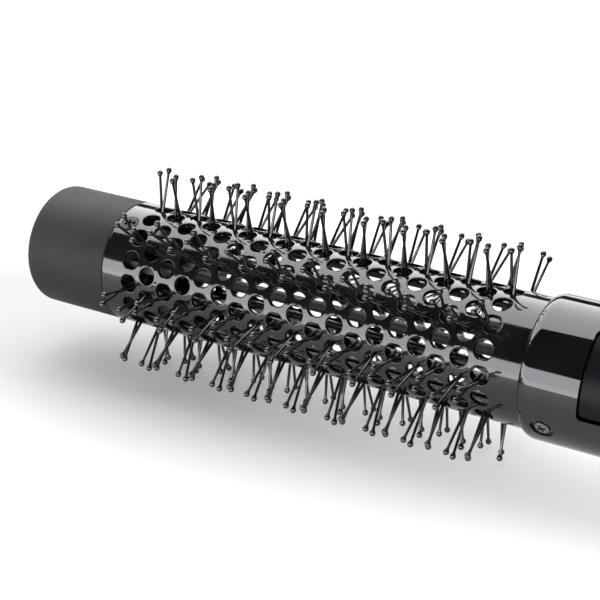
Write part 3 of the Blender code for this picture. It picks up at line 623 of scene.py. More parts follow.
SATIN = SoftTouch("satin_grey", (0.004, 0.004, 0.005), (0.006, 0.006, 0.007), (0.28, 0.36),
                  ior=1.15, grain=0.3 * MM, relief=0.008 * MM, strength=0.2)
# The same black screws in two copies: the tip copy's colour is darkened as painted shade and the
# collar copy's is lightened as painted light.
TIP_SCREW = Finish("black_screw", (0.016, 0.016, 0.017), (0.028, 0.028, 0.029), (0.22, 0.34),
                   metallic=1.0, patch=1.5 * MM, grain=0.15 * MM, relief=0.004 * MM, shade="painted_shade")
COLLAR_SCREW = Finish("black_screw", (0.16, 0.16, 0.165), (0.24, 0.24, 0.245), (0.26, 0.38),
                      metallic=1.0, patch=1.5 * MM, grain=0.15 * MM, relief=0.004 * MM,
                      shade="painted_light")
STEEL = Finish("steel", (0.45, 0.46, 0.47), (0.60, 0.61, 0.62), (0.22, 0.36), metallic=1.0,
               patch=6 * MM, grain=0.2 * MM, relief=0.003 * MM, stretch=(0.1, 1.0, 1.0))
ALUMINIUM = Finish("aluminium", (0.62, 0.63, 0.64), (0.74, 0.75, 0.76), (0.28, 0.42),
                   metallic=1.0, patch=8 * MM, grain=0.3 * MM, relief=0.004 * MM,
                   stretch=(1.0, 0.1, 0.1))
COPPER = Finish("copper", (0.62, 0.33, 0.20), (0.75, 0.43, 0.28), (0.25, 0.40), metallic=1.0,
                patch=4 * MM, grain=0.2 * MM, relief=0.004 * MM)
MICA = MicaSheet("mica", (0.48, 0.42, 0.32), (0.66, 0.60, 0.48), (0.35, 0.60), patch=3 * MM,
                 relief=0.03 * MM)
RESIST = Finish("circuit_green", (0.02, 0.14, 0.06), (0.04, 0.20, 0.09), (0.30, 0.45),
                patch=5 * MM, grain=0.6 * MM, relief=0.02 * MM)


# ---- knob

@dataclass
class TwistKnob:
    """Smooth cup at the tip, with its inset end disc."""

    edge_radius: float = 3.5 * MM
    wall: float = 1.9 * MM
    lip: float = 0.35 * MM
    groove: float = 0.3 * MM
    floor: float = 3.6 * MM
    hub: float = 4.2 * MM
    dish: float = 0.06 * MM
    station: float = 12 * MM
    radius: float = field(default_factory=lambda: reach("tip_knob"))
    cap_radius: float = field(default_factory=lambda: reach("knob_end_cap"))

    def build(self) -> None:
        """Make the cup and the end disc."""
        start, end = span("tip_knob")
        cap_start, cap_end = span("knob_end_cap")
        groove = self.cap_radius + self.groove
        inner = self.radius - self.wall
        edge, lip = self.edge_radius, self.lip
        profile = [(cap_end, groove), *arc((start + lip, groove + lip), lip, 270, 180, 4),
                   *arc((start + edge, self.radius - edge), edge, 180, 90, 16),
                   (end - self.station, self.radius),
                   *arc((end - lip, self.radius - lip), lip, 90, 0, 5), (end, inner),
                   (start + self.floor, inner), (start + self.floor, self.hub),
                   (cap_end, self.hub)]
        Piece("knob_shell", lathe(profile, 160)).dress(SOFT_TOUCH, BODY_KNOB, "tip_knob")
        disc = [(cap_start, 0.0), (cap_start, 0.35 * self.cap_radius),
                (cap_start + self.dish, 0.36 * self.cap_radius),
                (cap_start + self.dish, 0.86 * self.cap_radius),
                (cap_start, 0.88 * self.cap_radius),
                *arc((cap_start + lip, self.cap_radius - lip), lip, 180, 90, 5),
                (cap_end, self.cap_radius), (cap_end, 0.0)]
        Piece("knob_end_disc", lathe(disc, 128)).dress(SATIN, BODY_KNOB, "knob_end_cap")


# ---- barrel

@dataclass
class Barrel:
    """Tube with staggered rings of round holes, unrolled, pierced and rolled up."""

    wall: float = 1.2 * MM
    hole_radius: float = 2.85 * MM
    rings: int = 19
    holes: int = 16
    first_ring: float = 10.2 * MM
    last_ring: float = 11.4 * MM
    tail: float = 14.8 * MM
    sides: int = 24
    rim: float = 0.16 * MM
    margin: float = 4.8 * MM
    sunk_radius: float = 2.95 * MM
    sunk_depth: float = 0.25 * MM
    radius: float = field(default_factory=lambda: reach("barrel_tube"))

    @property
    def start(self) -> float:
        """X of the front seam."""
        return span("barrel_tube")[0]

    @property
    def seam(self) -> float:
        """X of the rear seam."""
        return span("barrel_tube")[1] - self.tail

    @property
    def pitch(self) -> float:
        """Distance between two rings."""
        return (self.seam - self.start - self.first_ring - self.last_ring) / (self.rings - 1)

    @property
    def step(self) -> float:
        """Angle between two holes of a ring."""
        return math.tau / self.holes

    def ring_x(self, ring: int) -> float:
        """X of a ring of holes."""
        return self.start + self.first_ring + ring * self.pitch

    def ring_shift(self, ring: int) -> float:
        """Angle of a ring's first hole."""
        return self.step / 4 if ring % 2 == 0 else -self.step / 4

    def border_point(self, index: int) -> Vector:
        """Point on the six-sided border of the land round one hole.

        Args:
            index: Number of the point, going round.

        Returns:
            The point in the unrolled sheet, from the hole's centre.
        """
        half = self.radius * self.step / 2
        peak = (half ** 2 + self.pitch ** 2) / (2 * self.pitch)
        side = (self.pitch ** 2 - half ** 2) / (2 * self.pitch)
        corners = [Vector(c) for c in ((side, half), (-side, half), (-peak, 0.0),
                                       (-side, -half), (side, -half), (peak, 0.0))]
        each = self.sides // 6
        corner, along = divmod(index, each)
        return corners[corner].lerp(corners[(corner + 1) % 6], along / each)

    def cell(self) -> Mesh:
        """Land round one hole, as three loops of points bridged together."""
        bm = bmesh.new()
        border = bm.verts.layers.int.new("border")
        loops = []
        for share in (0.0, 0.45, 1.0):
            ring = bmesh.ops.create_circle(bm, segments=self.sides, radius=1.0)["verts"]
            ring.sort(key=lambda vert: math.atan2(vert.co.y, vert.co.x) % math.tau)
            for index, vert in enumerate(ring):
                outer = self.border_point(index)
                inner = outer.normalized() * self.hole_radius
                vert.co.xy = inner.lerp(outer, share)
                vert[border] = int(share == 1.0)
            loops.append({edge for vert in ring for edge in vert.link_edges})
        for inside, outside in zip(loops, loops[1:]):
            bmesh.ops.bridge_loops(bm, edges=list(inside | outside))
        return bm

    def lands(self, parity: int) -> Mesh:
        """Rolled-up lands of every second ring.

        Args:
            parity: 0 for the first, third and later odd rings, 1 for those between.

        Returns:
            The open mesh.
        """
        bm = self.cell()
        angle = self.ring_shift(parity)
        for vert in bm.verts:
            vert.co = around(angle + vert.co.y / self.radius, self.radius,
                             self.ring_x(parity) + vert.co.x)
        copies = (self.rings + 1 - parity) // 2 - 1
        for turn, shift, steps in ((math.tau - self.step, 0.0, self.holes - 1),
                                   (0.0, 2 * self.pitch, copies)):
            bmesh.ops.spin(bm, geom=bm.verts[:] + bm.edges[:] + bm.faces[:], cent=(0, 0, 0),
                           axis=(1, 0, 0), dvec=(shift, 0, 0), angle=turn, steps=steps,
                           use_duplicate=True)
        return bm

    def sheet(self) -> Mesh:
        """All the lands rolled into a tube and joined."""
        bm = gathered([self.lands(0), self.lands(1)])
        bmesh.ops.remove_doubles(bm, verts=bm.verts, dist=0.01 * MM)
        return bm

    def plain_band(self, bm: Mesh, stations: Sequence[float], forward: bool) -> None:
        """Carry an end of the pierced sheet on as a plain tube.

        Args:
            bm: The rolled sheet.
            stations: X of each circle, away from the holes.
            forward: Whether this is the end towards the handle.
        """
        border = bm.verts.layers.int["border"]
        middle = (self.ring_x(0) + self.ring_x(self.rings - 1)) / 2
        edges = [edge for edge in bm.edges if edge.is_boundary
                 and all(v[border] and (v.co.x > middle) == forward for v in edge.verts)]
        for x in stations:
            drawn = bmesh.ops.extrude_edge_only(bm, edges=edges)["geom"]
            edges = [item for item in drawn if isinstance(item, bmesh.types.BMEdge)]
            for vert in {v for edge in edges for v in edge.verts}:
                vert.co.x = x

    def build(self) -> None:
        """Make the tube with its wall, rounded rims and screw holes."""
        bm = self.sheet()
        front = [self.ring_x(0) - self.margin, self.start + 2 * MM, self.start + 0.3 * MM,
                 self.start]
        rear = [self.ring_x(self.rings - 1) + self.margin, self.seam - 3 * MM, self.seam,
                self.seam + self.tail]
        self.plain_band(bm, front, forward=False)
        self.plain_band(bm, rear, forward=True)
        bmesh.ops.recalc_face_normals(bm, faces=bm.faces)
        wall = bmesh.ops.extrude_face_region(bm, geom=bm.faces[:], use_keep_orig=True)
        inner = [item for item in wall["geom"] if isinstance(item, bmesh.types.BMVert)]
        shrink = 1.0 - self.wall / self.radius
        bmesh.ops.scale(bm, vec=(1.0, shrink, shrink), verts=inner)
        bmesh.ops.recalc_face_normals(bm, faces=bm.faces)
        limit = self.radius - 0.1 * MM
        rims = [edge for edge in sharp_edges(bm)
                if all(math.hypot(v.co.y, v.co.z) > limit for v in edge.verts)]
        rounded(bm, rims, self.rim, 2)
        tube = Piece("barrel_skin", bm, 24.0)
        tube.cut(gathered(self.screw_holes()), crease=24.0)
        tube.dress(BARREL, BODY_HANDLE, "barrel_tube")

    def screw_holes(self) -> list[Mesh]:
        """Tools for the countersunk holes at the tip and the plain ones in the collar."""
        deep, high = 0.5 * self.radius, self.radius + MM
        inside, floor = self.radius - self.wall, self.radius - self.sunk_depth
        sunk = [(deep, 0.0), (deep, 1.3 * MM), (inside, SHANK_HOLE), (floor, self.sunk_radius),
                (high, self.sunk_radius), (high, 0.0)]
        plain = [(deep, 0.0), (deep, SHANK_HOLE), (high, SHANK_HOLE), (high, 0.0)]
        return [transformed(lathe(hole, steps), screw_place(name))
                for names, hole, steps in ((TIP_SCREWS, sunk, 40), (COLLAR_SCREWS, plain, 24))
                for name in names]


# ---- screws

def screw_place(node: str) -> Matrix:
    """Matrix that brings a piece turned about X to a screw of the frame.

    Args:
        node: Name of the screw's CAD node.

    Returns:
        The matrix; X of the turned piece becomes the distance from the brush axis.
    """
    low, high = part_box(node)
    middle = (low + high) / 2
    return facing(math.atan2(middle.z, -middle.y)) @ standing(middle.x)


class Head(Enum):
    """Kinds of screw head."""

    COUNTERSUNK = "countersunk"
    PAN = "pan"


@dataclass
class RadialScrew:
    """Cross-head screw that points at the brush axis."""

    node: str
    head: Head
    head_radius: float
    surface: float
    finish: Finish
    shank: float = 1.1 * MM
    length: float = 5 * MM
    point: float = 0.4 * MM
    recess_depth: float = 0.8 * MM
    recess_turn: float = math.radians(22)

    def profile(self) -> list[Point2]:
        """Section of the screw, from the head's top inwards."""
        top, radius = self.surface, self.head_radius
        if self.head is Head.COUNTERSUNK:
            crown = [(top, 0.0), (top, 0.7 * radius), (top - 0.04 * MM, 0.93 * radius),
                     (top - 0.14 * MM, radius), (top - 0.25 * MM, radius),
                     (top - 1.05 * MM, self.shank)]
        else:
            crown = [(top, 0.0), (top, 0.55 * radius), (top - 0.08 * MM, 0.8 * radius),
                     (top - 0.25 * MM, 0.96 * radius), (top - 0.42 * MM, radius),
                     (top - 0.6 * MM, radius), (top - 0.6 * MM, self.shank)]
        low = self.surface - self.length
        return [*crown, (low + self.point, self.shank), (low, 0.6 * self.shank), (low, 0.0)]

    def build(self) -> None:
        """Make the screw with its tapered cross recess."""
        piece = Piece(f"{self.node}_fine", lathe(self.profile(), 48))
        cross = plus_outline(0.92 * self.head_radius, 0.24 * self.head_radius)
        recess = extruded(cross, self.surface - self.recess_depth, self.surface + MM)
        bottom = [vert for vert in recess.verts if vert.co.z < self.surface]
        bmesh.ops.scale(recess, vec=(0.55, 0.55, 1.0), verts=bottom)
        recess = transformed(recess, Matrix.Rotation(self.recess_turn, 4, "Z"))
        piece.cut(transformed(recess, Matrix.Rotation(UP, 4, "Y")))
        piece.object.data.transform(screw_place(self.node))
        piece.dress(self.finish, BODY_HANDLE, self.node)


# ---- bristles

@dataclass
class BristleStrips:
    """Moulded bars with a pair of ball-tipped bristles at every ring of holes."""

    barrel: Barrel
    count: int = 8
    top: float = 16.6 * MM
    depth: float = 2.4 * MM
    top_half: float = 1.65 * MM
    foot_half: float = 0.65 * MM
    travel: float = 12.0 * MM
    reach: float = 13.7 * MM
    root_radius: float = 0.50 * MM
    tip_radius: float = 0.42 * MM
    ball_radius: float = 0.97 * MM
    outer: Point2 = (-0.33 * MM, 0.250)
    inner: Point2 = (1.20 * MM, -0.068)
    pair_offset: float = 0.5 * MM
    axial_lean: float = 0.095
    sink: float = 0.35 * MM
    sides: int = 8
    pin_length: float = 3.0 * MM
    pin_overlap: float = 0.4 * MM

    def bristle_mesh(self) -> Mesh:
        """Tapered rod with a ball on its tip, pointing up from its root."""
        length = self.barrel.radius + self.reach - self.top + self.sink
        ball = self.ball_radius
        neck = math.degrees(math.asin(self.tip_radius / ball))
        profile = [(0.0, 0.0), (0.0, self.root_radius),
                   (0.5 * length, 0.5 * (self.root_radius + self.tip_radius)),
                   (length - 2.3 * ball, self.tip_radius),
                   *arc((length - ball, 0.0), ball, 180 - 1.6 * neck, 32, 4), (length, 0.0)]
        return transformed(lathe(profile, self.sides), Matrix.Rotation(-UP, 4, "Y"))

    def place(self, ring: int, root: Point2, offset: float) -> Matrix:
        """Place of a bristle on a strip that points up.

        Args:
            ring: Number of the ring of holes.
            root: Sideways place of the root and sideways slope.
            offset: Place along the barrel from the middle of the hole.

        Returns:
            The matrix of the bristle.
        """
        side = 1.0 if ring % 2 == 0 else -1.0
        slope = self.axial_lean * math.sin(2.4 * ring + 0.6)
        middle = (self.travel + self.barrel.radius - self.top) / 2
        x = self.barrel.ring_x(ring) + offset - slope * middle
        direction = Vector((slope, side * root[1], 1.0))
        foot = Vector((x, side * root[0], self.top)) - direction * self.sink
        stretch = Matrix.Diagonal((1.0, 1.0, direction.length, 1.0))
        turn = direction.to_track_quat("Z", "Y").to_matrix().to_4x4()
        return Matrix.Translation(foot) @ turn @ stretch

    def bar(self) -> Mesh:
        """Wedge-shaped bar with a pin at each end."""
        low, high = span("bristle_strip_1")
        inset = self.pin_length - self.pin_overlap
        start, end = low + inset, high - inset
        foot = self.top - self.depth
        bm = extruded([(-self.foot_half, foot), (self.foot_half, foot),
                       (self.top_half, self.top), (-self.top_half, self.top)], start, end)
        transformed(bm, Matrix(((0, 0, 1, 0), (1, 0, 0, 0), (0, 1, 0, 0), (0, 0, 0, 1))))
        rounded(bm, sharp_edges(bm), 0.2 * MM, 2)
        middle = (foot + self.top) / 2
        pins = [rounded_box((self.pin_length, MM, MM), (x, 0, middle), 0.12 * MM, 2)
                for x in (low + self.pin_length / 2, high - self.pin_length / 2)]
        return gathered([bm, *pins])

    def strip(self) -> Mesh:
        """Whole strip, pointing up."""
        bristle = self.bristle_mesh()
        parts = [self.bar()]
        for ring in range(self.barrel.rings):
            for root, offset in ((self.outer, self.pair_offset), (self.inner, -self.pair_offset)):
                parts.append(transformed(bristle.copy(), self.place(ring, root, offset)))
        bristle.free()
        return gathered(parts)

    def build(self) -> None:
        """Make the strips and turn each to its place round the barrel."""
        strip = self.strip()
        for number in range(self.count):
            node = f"bristle_strip_{number + 1}"
            bm = transformed(strip.copy(), facing(number * math.tau / self.count))
            Piece(f"{node}_fine", bm, 50.0).dress(NYLON, node, node)
        strip.free()


# ---- handle

@dataclass
class Handle:
    """Two gloss half shells with the control window, counterbores and screw holes."""

    wall: float = 1.4 * MM
    shoulder: float = 3.0 * MM
    straight: float = 70.0 * MM
    taper: float = 40.0 * MM
    grip: float = 17.8 * MM
    window_start: float = 17.9 * MM
    window_length: float = 55.0 * MM
    window_half: float = WINDOW_HALF
    window_corner: float = 1.2 * MM
    soft_edge: float = 0.25 * MM
    split: float = 0.3 * MM
    back_step: float = 0.3 * MM
    pocket_radius: float = 3.15 * MM
    pocket_depth: float = 0.9 * MM
    pocket_waist: float = 3.2 * MM
    pocket_mouth: float = 3.9 * MM
    bore: float = 2.6 * MM
    countersink: float = 0.3 * MM
    radius: float = field(default_factory=lambda: reach("handle_shell_top"))

    @property
    def start(self) -> float:
        """X of the front of the shells."""
        return span("handle_shell_top")[0]

    @property
    def end(self) -> float:
        """X of the back of the shells."""
        return span("handle_shell_top")[1]

    def outer_radius(self, x: float) -> float:
        """Outer radius of the handle at a place along it."""
        share = min(max((x - self.start - self.straight) / self.taper, 0.0), 1.0)
        return self.radius + (self.grip - self.radius) * share * share * (3 - 2 * share)

    def profile(self) -> list[Point2]:
        """Section of the wall with the rounded front and a stepped back edge."""
        lip = self.radius - self.wall
        turns = (math.radians(t) for t in steps_between(4, 90, 14))
        front = [(self.start + self.shoulder * (1 - math.cos(t)), lip + self.wall * math.sin(t))
                 for t in turns]
        narrow = self.start + self.straight
        slim = narrow + self.taper
        places = [self.start + 0.3 * self.straight, self.start + 0.6 * self.straight,
                  *steps_between(narrow, slim, 25), (slim + self.end) / 2,
                  self.end - self.back_step]
        outer = [(x, self.outer_radius(x)) for x in places]
        inner = [(x, self.outer_radius(x) - self.wall) for x in reversed(places)]
        return [(self.start, lip), *front, *outer, (self.end, self.grip - self.back_step),
                (self.end, self.grip - self.wall), *inner]

    def half(self, side: int) -> Mesh:
        """Half of the wall, split level with the axis.

        Args:
            side: 1 for the half that points up, -1 for the other.

        Returns:
            The half shell, before it is turned to the controls.
        """
        section = [(x, side * radius) for x, radius in self.profile()]
        return bent(section, math.pi - self.split / self.radius, 80)

    def counterbore(self, node: str) -> Mesh:
        """Tool for the pocket of a collar screw.

        Args:
            node: Name of the screw's node.

        Returns:
            A closed turned mesh in its place.
        """
        low, high = self.radius - 3 * MM, self.radius + MM
        floor = self.radius - self.pocket_depth
        profile = [(low, 0.0), (low, SHANK_HOLE), (floor, SHANK_HOLE),
                   (floor, self.pocket_radius),
                   (self.radius - self.pocket_depth / 2, self.pocket_waist),
                   (high, self.pocket_mouth), (high, 0.0)]
        return transformed(lathe(profile, 56), screw_place(node))

    def window(self) -> Mesh:
        """Tool for the control window, pointing up."""
        start = Barrel().seam + self.window_start
        outline = rounded_rectangle((start, start + self.window_length),
                                    self.radius * math.sin(self.window_half),
                                    self.window_corner)
        return extruded(outline, 0.4 * self.radius, self.radius + 2 * MM)

    def build(self) -> None:
        """Make both shells."""
        turn = facing(CONTROL_ANGLE)
        top = Piece("shell_top_fine", transformed(self.half(1), turn))
        top.cut(gathered([transformed(self.window(), turn), self.counterbore("collar_screw_1")]))
        top.soften(self.soft_edge)
        top.dress(GLOSS, BODY_HANDLE, "handle_shell_top")
        bottom = Piece("shell_bottom_fine", transformed(self.half(-1), turn))
        low, high = -self.grip - MM, -0.7 * self.grip
        hole = [(low, 0.0), (low, self.bore + self.countersink),
                (0.4 * MM - self.grip, self.bore),
                (high, self.bore), (high, 0.0)]
        tools = [self.counterbore("collar_screw_2")]
        for node in ("handle_screw_1", "handle_screw_2"):
            tools.append(transformed(lathe(hole, 40), turn @ standing(sum(span(node)) / 2)))
        bottom.cut(gathered(tools))
        bottom.soften(self.soft_edge)
        bottom.dress(GLOSS, BODY_HANDLE, "handle_shell_bottom")


# ---- controls

@dataclass
class Controls:
    """Panel in the window with the ribbed slide knob and the round button."""

    window_half: float = WINDOW_HALF
    thickness: float = 1.6 * MM
    corner: float = 0.9 * MM
    window_gap: float = 0.5 * MM
    slot_half: float = 1.8 * MM
    slot_length: float = 11.6 * MM
    slot_corner: float = 1.7 * MM
    hole_radius: float = 4.8 * MM
    slider_height: float = 1.9 * MM
    slider_edge: float = 0.35 * MM
    rib_width: float = 0.8 * MM
    rib_height: float = 0.7 * MM
    rib_edge: float = 0.28 * MM
    rib_drop: float = 0.36 * MM
    stem: float = 3 * MM
    stem_edge: float = 0.2 * MM
    button_radius: float = 4.5 * MM
    button_edge: float = 0.45 * MM
    flange: float = 0.6 * MM
    soft_edge: float = 0.18 * MM

    def build(self) -> None:
        """Make the panel, the slide knob and the button."""
        turn = facing(CONTROL_ANGLE)
        self.panel(turn)
        self.slider(turn)
        self.button(turn)

    def local_box(self, node: str) -> tuple[Vector, Vector]:
        """Box of a CAD node as it would be with the controls pointing up.

        Args:
            node: Name of the CAD node.

        Returns:
            Its lowest and highest corners.
        """
        back = facing(CONTROL_ANGLE).inverted()
        points = [back @ v.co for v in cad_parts[node].data.vertices]
        return (Vector([min(p[i] for p in points) for i in range(3)]),
                Vector([max(p[i] for p in points) for i in range(3)]))

    def panel(self, turn: Matrix) -> None:
        """Curved inlay with rounded corners, a slot and a button hole.

        Args:
            turn: Turn from pointing up to the side of the controls.
        """
        start, end = span("control_panel")
        outer = reach("control_panel")
        inner = outer - self.thickness
        section = [(start, inner), (start, outer), (end, outer), (end, inner)]
        piece = Piece("panel_fine", bent(section, 2 * self.window_half, 48))
        half = outer * math.sin(self.window_half) - self.window_gap
        outline = rounded_rectangle((start, end), half, self.corner)
        piece.cut(extruded(outline, 0.0, outer + 2 * MM), "INTERSECT")
        slot_start = sum(span("slider_knob")) / 2 - self.slot_half
        slot = rounded_rectangle((slot_start, slot_start + self.slot_length), self.slot_half,
                                 self.slot_corner)
        radius, top = self.hole_radius, 30 * MM
        hole = transformed(lathe([(0, 0), (0, radius), (top, radius), (top, 0)], 64),
                           standing(sum(span("cool_button")) / 2))
        piece.cut(gathered([extruded(slot, 0.0, outer + 2 * MM), hole]))
        piece.object.data.transform(turn)
        piece.soften(self.soft_edge)
        piece.dress(SATIN, BODY_HANDLE, "control_panel")

    def slider(self, turn: Matrix) -> None:
        """Slide knob with a row of grip ribs and its stem.

        Args:
            turn: Turn from pointing up to the side of the controls.
        """
        low, high = self.local_box("slider_knob")
        size, x, height = high - low, (low.x + high.x) / 2, self.slider_height
        parts = [rounded_box((size.x, size.y, 0.72 * height), (x, 0, high.z - 0.64 * height),
                             self.slider_edge, 4)]
        for offset in steps_between(-0.32, 0.32, 5):
            parts.append(rounded_box((self.rib_width, 0.86 * size.y, self.rib_height),
                                     (x + offset * size.x, 0, high.z - self.rib_drop),
                                     self.rib_edge, 3))
        top = high.z - height + 0.6 * MM
        parts.append(rounded_box((self.stem, self.stem, top - low.z),
                                 (x, 0, (top + low.z) / 2), self.stem_edge, 2))
        piece = Piece("slider_fine", transformed(gathered(parts), turn))
        piece.dress(SOFT_TOUCH, "speed_slider", "slider_knob")

    def button(self, turn: Matrix) -> None:
        """Round button with a dished top and a retaining flange.

        Args:
            turn: Turn from pointing up to the side of the controls.
        """
        low, high = self.local_box("cool_button")
        radius, edge, rim = self.button_radius, self.button_edge, (high.y - low.y) / 2
        top, shelf = high.z, low.z + self.flange
        profile = [(top - 0.35 * MM, 0.0), (top - 0.30 * MM, 0.3 * radius),
                   (top - 0.12 * MM, 0.6 * radius), (top, 0.8 * radius),
                   *arc((top - edge, radius - edge), edge, 10, 90, 6),
                   (shelf, radius), (shelf, rim), (low.z, rim), (low.z, 0)]
        place = turn @ standing((low.x + high.x) / 2)
        piece = Piece("button_fine", transformed(lathe(profile, 72), place))
        piece.dress(SOFT_TOUCH, "cool_button", "cool_button")


# ---- back end

@dataclass
class Intake:
    """Slotted end cap with a rounded rim."""

    wall: float = 1.6 * MM
    edge: float = 2.0 * MM
    spigot_length: float = 4.0 * MM
    spigot_step: float = 2.0 * MM
    chamfer: float = 0.3 * MM
    slots: int = 12
    slot_half: float = 0.9 * MM
    slot_corner: float = 0.88 * MM
    bore: float = 6.3 * MM
    bore_edge: float = 0.4 * MM

    def profile(self) -> list[Point2]:
        """Section of the cap."""
        low, end = span("intake_grille")
        start, outer = low + self.spigot_length, reach("intake_grille")
        spigot, lip = outer - self.spigot_step, self.bore_edge
        inner = spigot - self.wall
        return [(low, inner), (low, spigot), (start, spigot), (start, outer - self.chamfer),
                (start + self.chamfer, outer),
                *arc((end - self.edge, outer - self.edge), self.edge, 90, 0, 9),
                *arc((end - lip, self.bore + lip), lip, 0, -90, 5),
                (end - self.wall, self.bore), (end - self.wall, inner)]

    def build(self) -> None:
        """Make the cap with its ring of slots."""
        end = span("intake_grille")[1]
        radii = (self.bore + 1.6 * MM, reach("intake_grille") - self.edge - 1.2 * MM)
        outline = rounded_rectangle(radii, self.slot_half, self.slot_corner)
        slot = transformed(extruded(outline, end - 4 * MM, end + MM),
                           Matrix.Rotation(UP, 4, "Y"))
        turns = (number * math.tau / self.slots + math.pi for number in range(self.slots))
        tools = [transformed(slot.copy(), Matrix.Rotation(turn, 4, "X")) for turn in turns]
        slot.free()
        piece = Piece("grille_fine", lathe(self.profile(), 120))
        piece.cut(gathered(tools))
        piece.dress(SOFT_TOUCH, BODY_HANDLE, "intake_grille")


@dataclass
class Gland:
    """Turning gland with grip rings and an open bore."""

    radius: float = 6.0 * MM
    bore: float = 3.4 * MM
    flange: float = 1.2 * MM
    rings: int = 4
    ring_half: float = 0.45 * MM
    ring_foot: float = 0.2 * MM
    ring_depth: float = 0.3 * MM
    mouth: float = 0.8 * MM

    def build(self) -> None:
        """Make the gland."""
        low, high = span("swivel_gland")
        face, rim, radius = span("intake_grille")[1], reach("swivel_gland"), self.radius
        wide, narrow, foot = self.ring_half, self.ring_foot, radius - self.ring_depth
        rings: list[Point2] = []
        for x in steps_between(face + 2.0 * MM, face + 7.0 * MM, self.rings):
            rings += [(x - wide, radius), (x - narrow, foot), (x + narrow, foot),
                      (x + wide, radius)]
        mouth = (high - self.mouth, 0.75 * radius - 0.6 * MM)
        profile = [(low, self.bore), (low, rim), (low + self.flange, rim),
                   (low + self.flange, radius), *rings, (high - 6.3 * MM, radius),
                   (high - 2.1 * MM, 0.85 * radius), *arc(mouth, self.mouth, 80, 0, 6),
                   (high, self.bore)]
        Piece("gland_fine", lathe(profile, 72)).dress(INNER, "cord_swivel", "swivel_gland")


# ---- inside

INSIDE: dict[Finish, tuple[str, ...]] = {
    INNER: ("front_guide", "rear_guide", "neck_spider", "front_scroll", "rear_scroll",
            "slide_switch", "button_switch", "fan_impeller", "motor_mount",
            "rectifier_block", "spindle"),
    STEEL: ("knob_screw", "handle_screw_1", "handle_screw_2", "heater_coil", "thermostat",
            "motor_shaft", "motor", "lint_screen"),
    ALUMINIUM: ("heat_tube",),
    COPPER: ("thermal_fuse",),
    MICA: ("heater_board_1", "heater_board_2"),
    RESIST: ("rectifier_board",),
}


def dress_inside() -> None:
    """Give every carried-over CAD node its finish."""
    for finish, nodes in INSIDE.items():
        for node in nodes:
            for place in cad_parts[node].material_slots:
                place.material = finish.material()
        log.info("%s: %s", finish.slot, ", ".join(nodes))


# ---- studio

@dataclass(frozen=True)
class Softbox:
    """Rectangular light that shines down before it is turned."""

    name: str
    centre: Triple
    size: Point2
    radiance: float
    colour: Triple
    turn: Triple

    def build(self) -> None:
        """Add the light, which the camera doesn't see."""
        data = bpy.data.lights.new(self.name, "AREA")
        data.shape = "RECTANGLE"
        data.size, data.size_y = self.size
        data.energy = self.radiance * 4.0 * self.size[0] * self.size[1]
        data.color = self.colour
        item = bpy.data.objects.new(self.name, data)
        item.location = self.centre
        item.rotation_euler = self.turn
        item.visible_camera = False
        bpy.context.collection.objects.link(item)


LIGHTS = (
    Softbox("overhead", (-0.80, 0.86, 1.0), (2.6, 2.3), 5.0, (1.0, 0.975, 0.955),
            (0.0, 0.0, math.radians(19.0))),
    Softbox("front_strip", (-0.08, -0.22, 0.023), (0.9, 0.104), 6.2, (0.93, 0.94, 1.0),
            (UP, 0.0, 0.0)),
    Softbox("back", (-0.9, 1.9, 0.22), (3.0, 0.30), 2.4, (1.0, 1.0, 1.0), (-UP, 0.0, 0.0)),
)


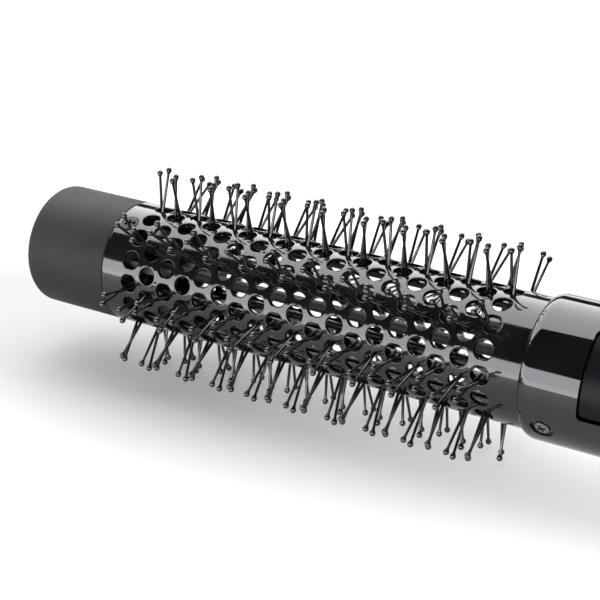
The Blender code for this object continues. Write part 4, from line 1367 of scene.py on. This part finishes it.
@dataclass
class Studio:
    """Pale floor with a painted shadow round the brush that brightens away from it as painted
    light, white surroundings, and the camera.
    """

    floor_z: float = -33.2 * MM
    floor_size: float = 4.0
    floor_dark: Triple = (0.215, 0.22, 0.22)
    floor_light: Triple = (0.225, 0.23, 0.23)
    # Painted shadow round the brush: the floor's glow rises from low to high over this reach of
    # squeezed distance from the brush.
    painted_shadow_squeeze: Triple = (0.45, 1.0, 0.0)
    painted_shadow_glow: Point2 = (0.20, 0.9)
    painted_shadow_reach: Point2 = (0.03, 0.13)
    surroundings: float = 0.05
    camera_place: Triple = (0.33062, -0.38304, 0.21285)
    camera_forward: Triple = (-0.47828, 0.76819, -0.42561)
    camera_up: Triple = (-0.21565, 0.36707, 0.90485)
    lens: float = 99.37

    def floor(self) -> None:
        """Pale floor with painted shading: its glow is low round the brush as a painted shadow and
        grows away from it as painted light.
        """
        bm = bmesh.new()
        bmesh.ops.create_grid(bm, x_segments=1, y_segments=1, size=self.floor_size)
        bmesh.ops.translate(bm, verts=bm.verts, vec=(0, 0, self.floor_z))
        mesh = bpy.data.meshes.new("studio_floor")
        bm.to_mesh(mesh)
        bm.free()
        item = bpy.data.objects.new("studio_floor", mesh)
        bpy.context.collection.objects.link(item)
        graph = Graph("studio_floor")
        graph.feed("Base Color", graph.ramp(graph.noise(0.4), (0.3, self.floor_dark),
                                            (0.7, self.floor_light)))
        graph.feed("Roughness", 0.9)
        graph.feed("Emission Color", (1.0, 1.0, 1.0, 1.0))
        # Painted shadow: the glow is low near the brush and grows with distance from it.
        away = graph.node("VectorMath", {"Vector": graph.stretched(self.painted_shadow_squeeze)})
        away.operation = "LENGTH"
        graph.feed("Emission Strength", graph.range(away.outputs["Value"], self.painted_shadow_glow,
                                                    self.painted_shadow_reach))
        mesh.materials.append(graph.material)

    def world(self) -> None:
        """White to the camera, dim to everything else."""
        world = bpy.data.worlds.new("studio_world")
        bpy.context.scene.world = world
        world.use_nodes = True
        tree = world.node_tree
        shade = tree.nodes["Background"]
        shade.inputs["Color"].default_value = (1.0, 1.0, 1.0, 1.0)
        path = tree.nodes.new("ShaderNodeLightPath")
        level = tree.nodes.new("ShaderNodeMapRange")
        level.inputs["To Min"].default_value = self.surroundings
        tree.links.new(path.outputs["Is Camera Ray"], level.inputs["Value"])
        tree.links.new(level.outputs["Result"], shade.inputs["Strength"])

    def camera(self) -> None:
        """Camera close to the front of the barrel, with the tip at the left."""
        data = bpy.data.cameras.new("camera")
        data.lens = self.lens
        data.sensor_width = 36.0
        data.clip_start = 0.01
        item = bpy.data.objects.new("camera", data)
        back = -Vector(self.camera_forward).normalized()
        side = Vector(self.camera_up).cross(back).normalized()
        turn = Matrix((side, back.cross(side), back)).transposed().to_4x4()
        item.matrix_world = Matrix.Translation(self.camera_place) @ turn
        bpy.context.collection.objects.link(item)
        bpy.context.scene.camera = item

    def build(self) -> None:
        """Make the whole studio."""
        bpy.context.scene.view_settings.view_transform = "Standard"
        self.floor()
        for light in LIGHTS:
            light.build()
        self.world()
        self.camera()


def main() -> None:
    """Build the pieces in order."""
    logging.basicConfig(level=logging.INFO, format="%(message)s")
    Studio().build()
    TwistKnob().build()
    barrel = Barrel()
    barrel.build()
    for name in TIP_SCREWS:
        RadialScrew(name, Head.COUNTERSUNK, 2.7 * MM, barrel.radius - 0.03 * MM,
                    TIP_SCREW).build()
    BristleStrips(barrel).build()
    handle = Handle()
    handle.build()
    for name in COLLAR_SCREWS:
        RadialScrew(name, Head.PAN, 2.2 * MM, handle.radius - 0.1 * MM, COLLAR_SCREW).build()
    Controls().build()
    Intake().build()
    Gland().build()
    dress_inside()


if __name__ == "__main__":
    main()
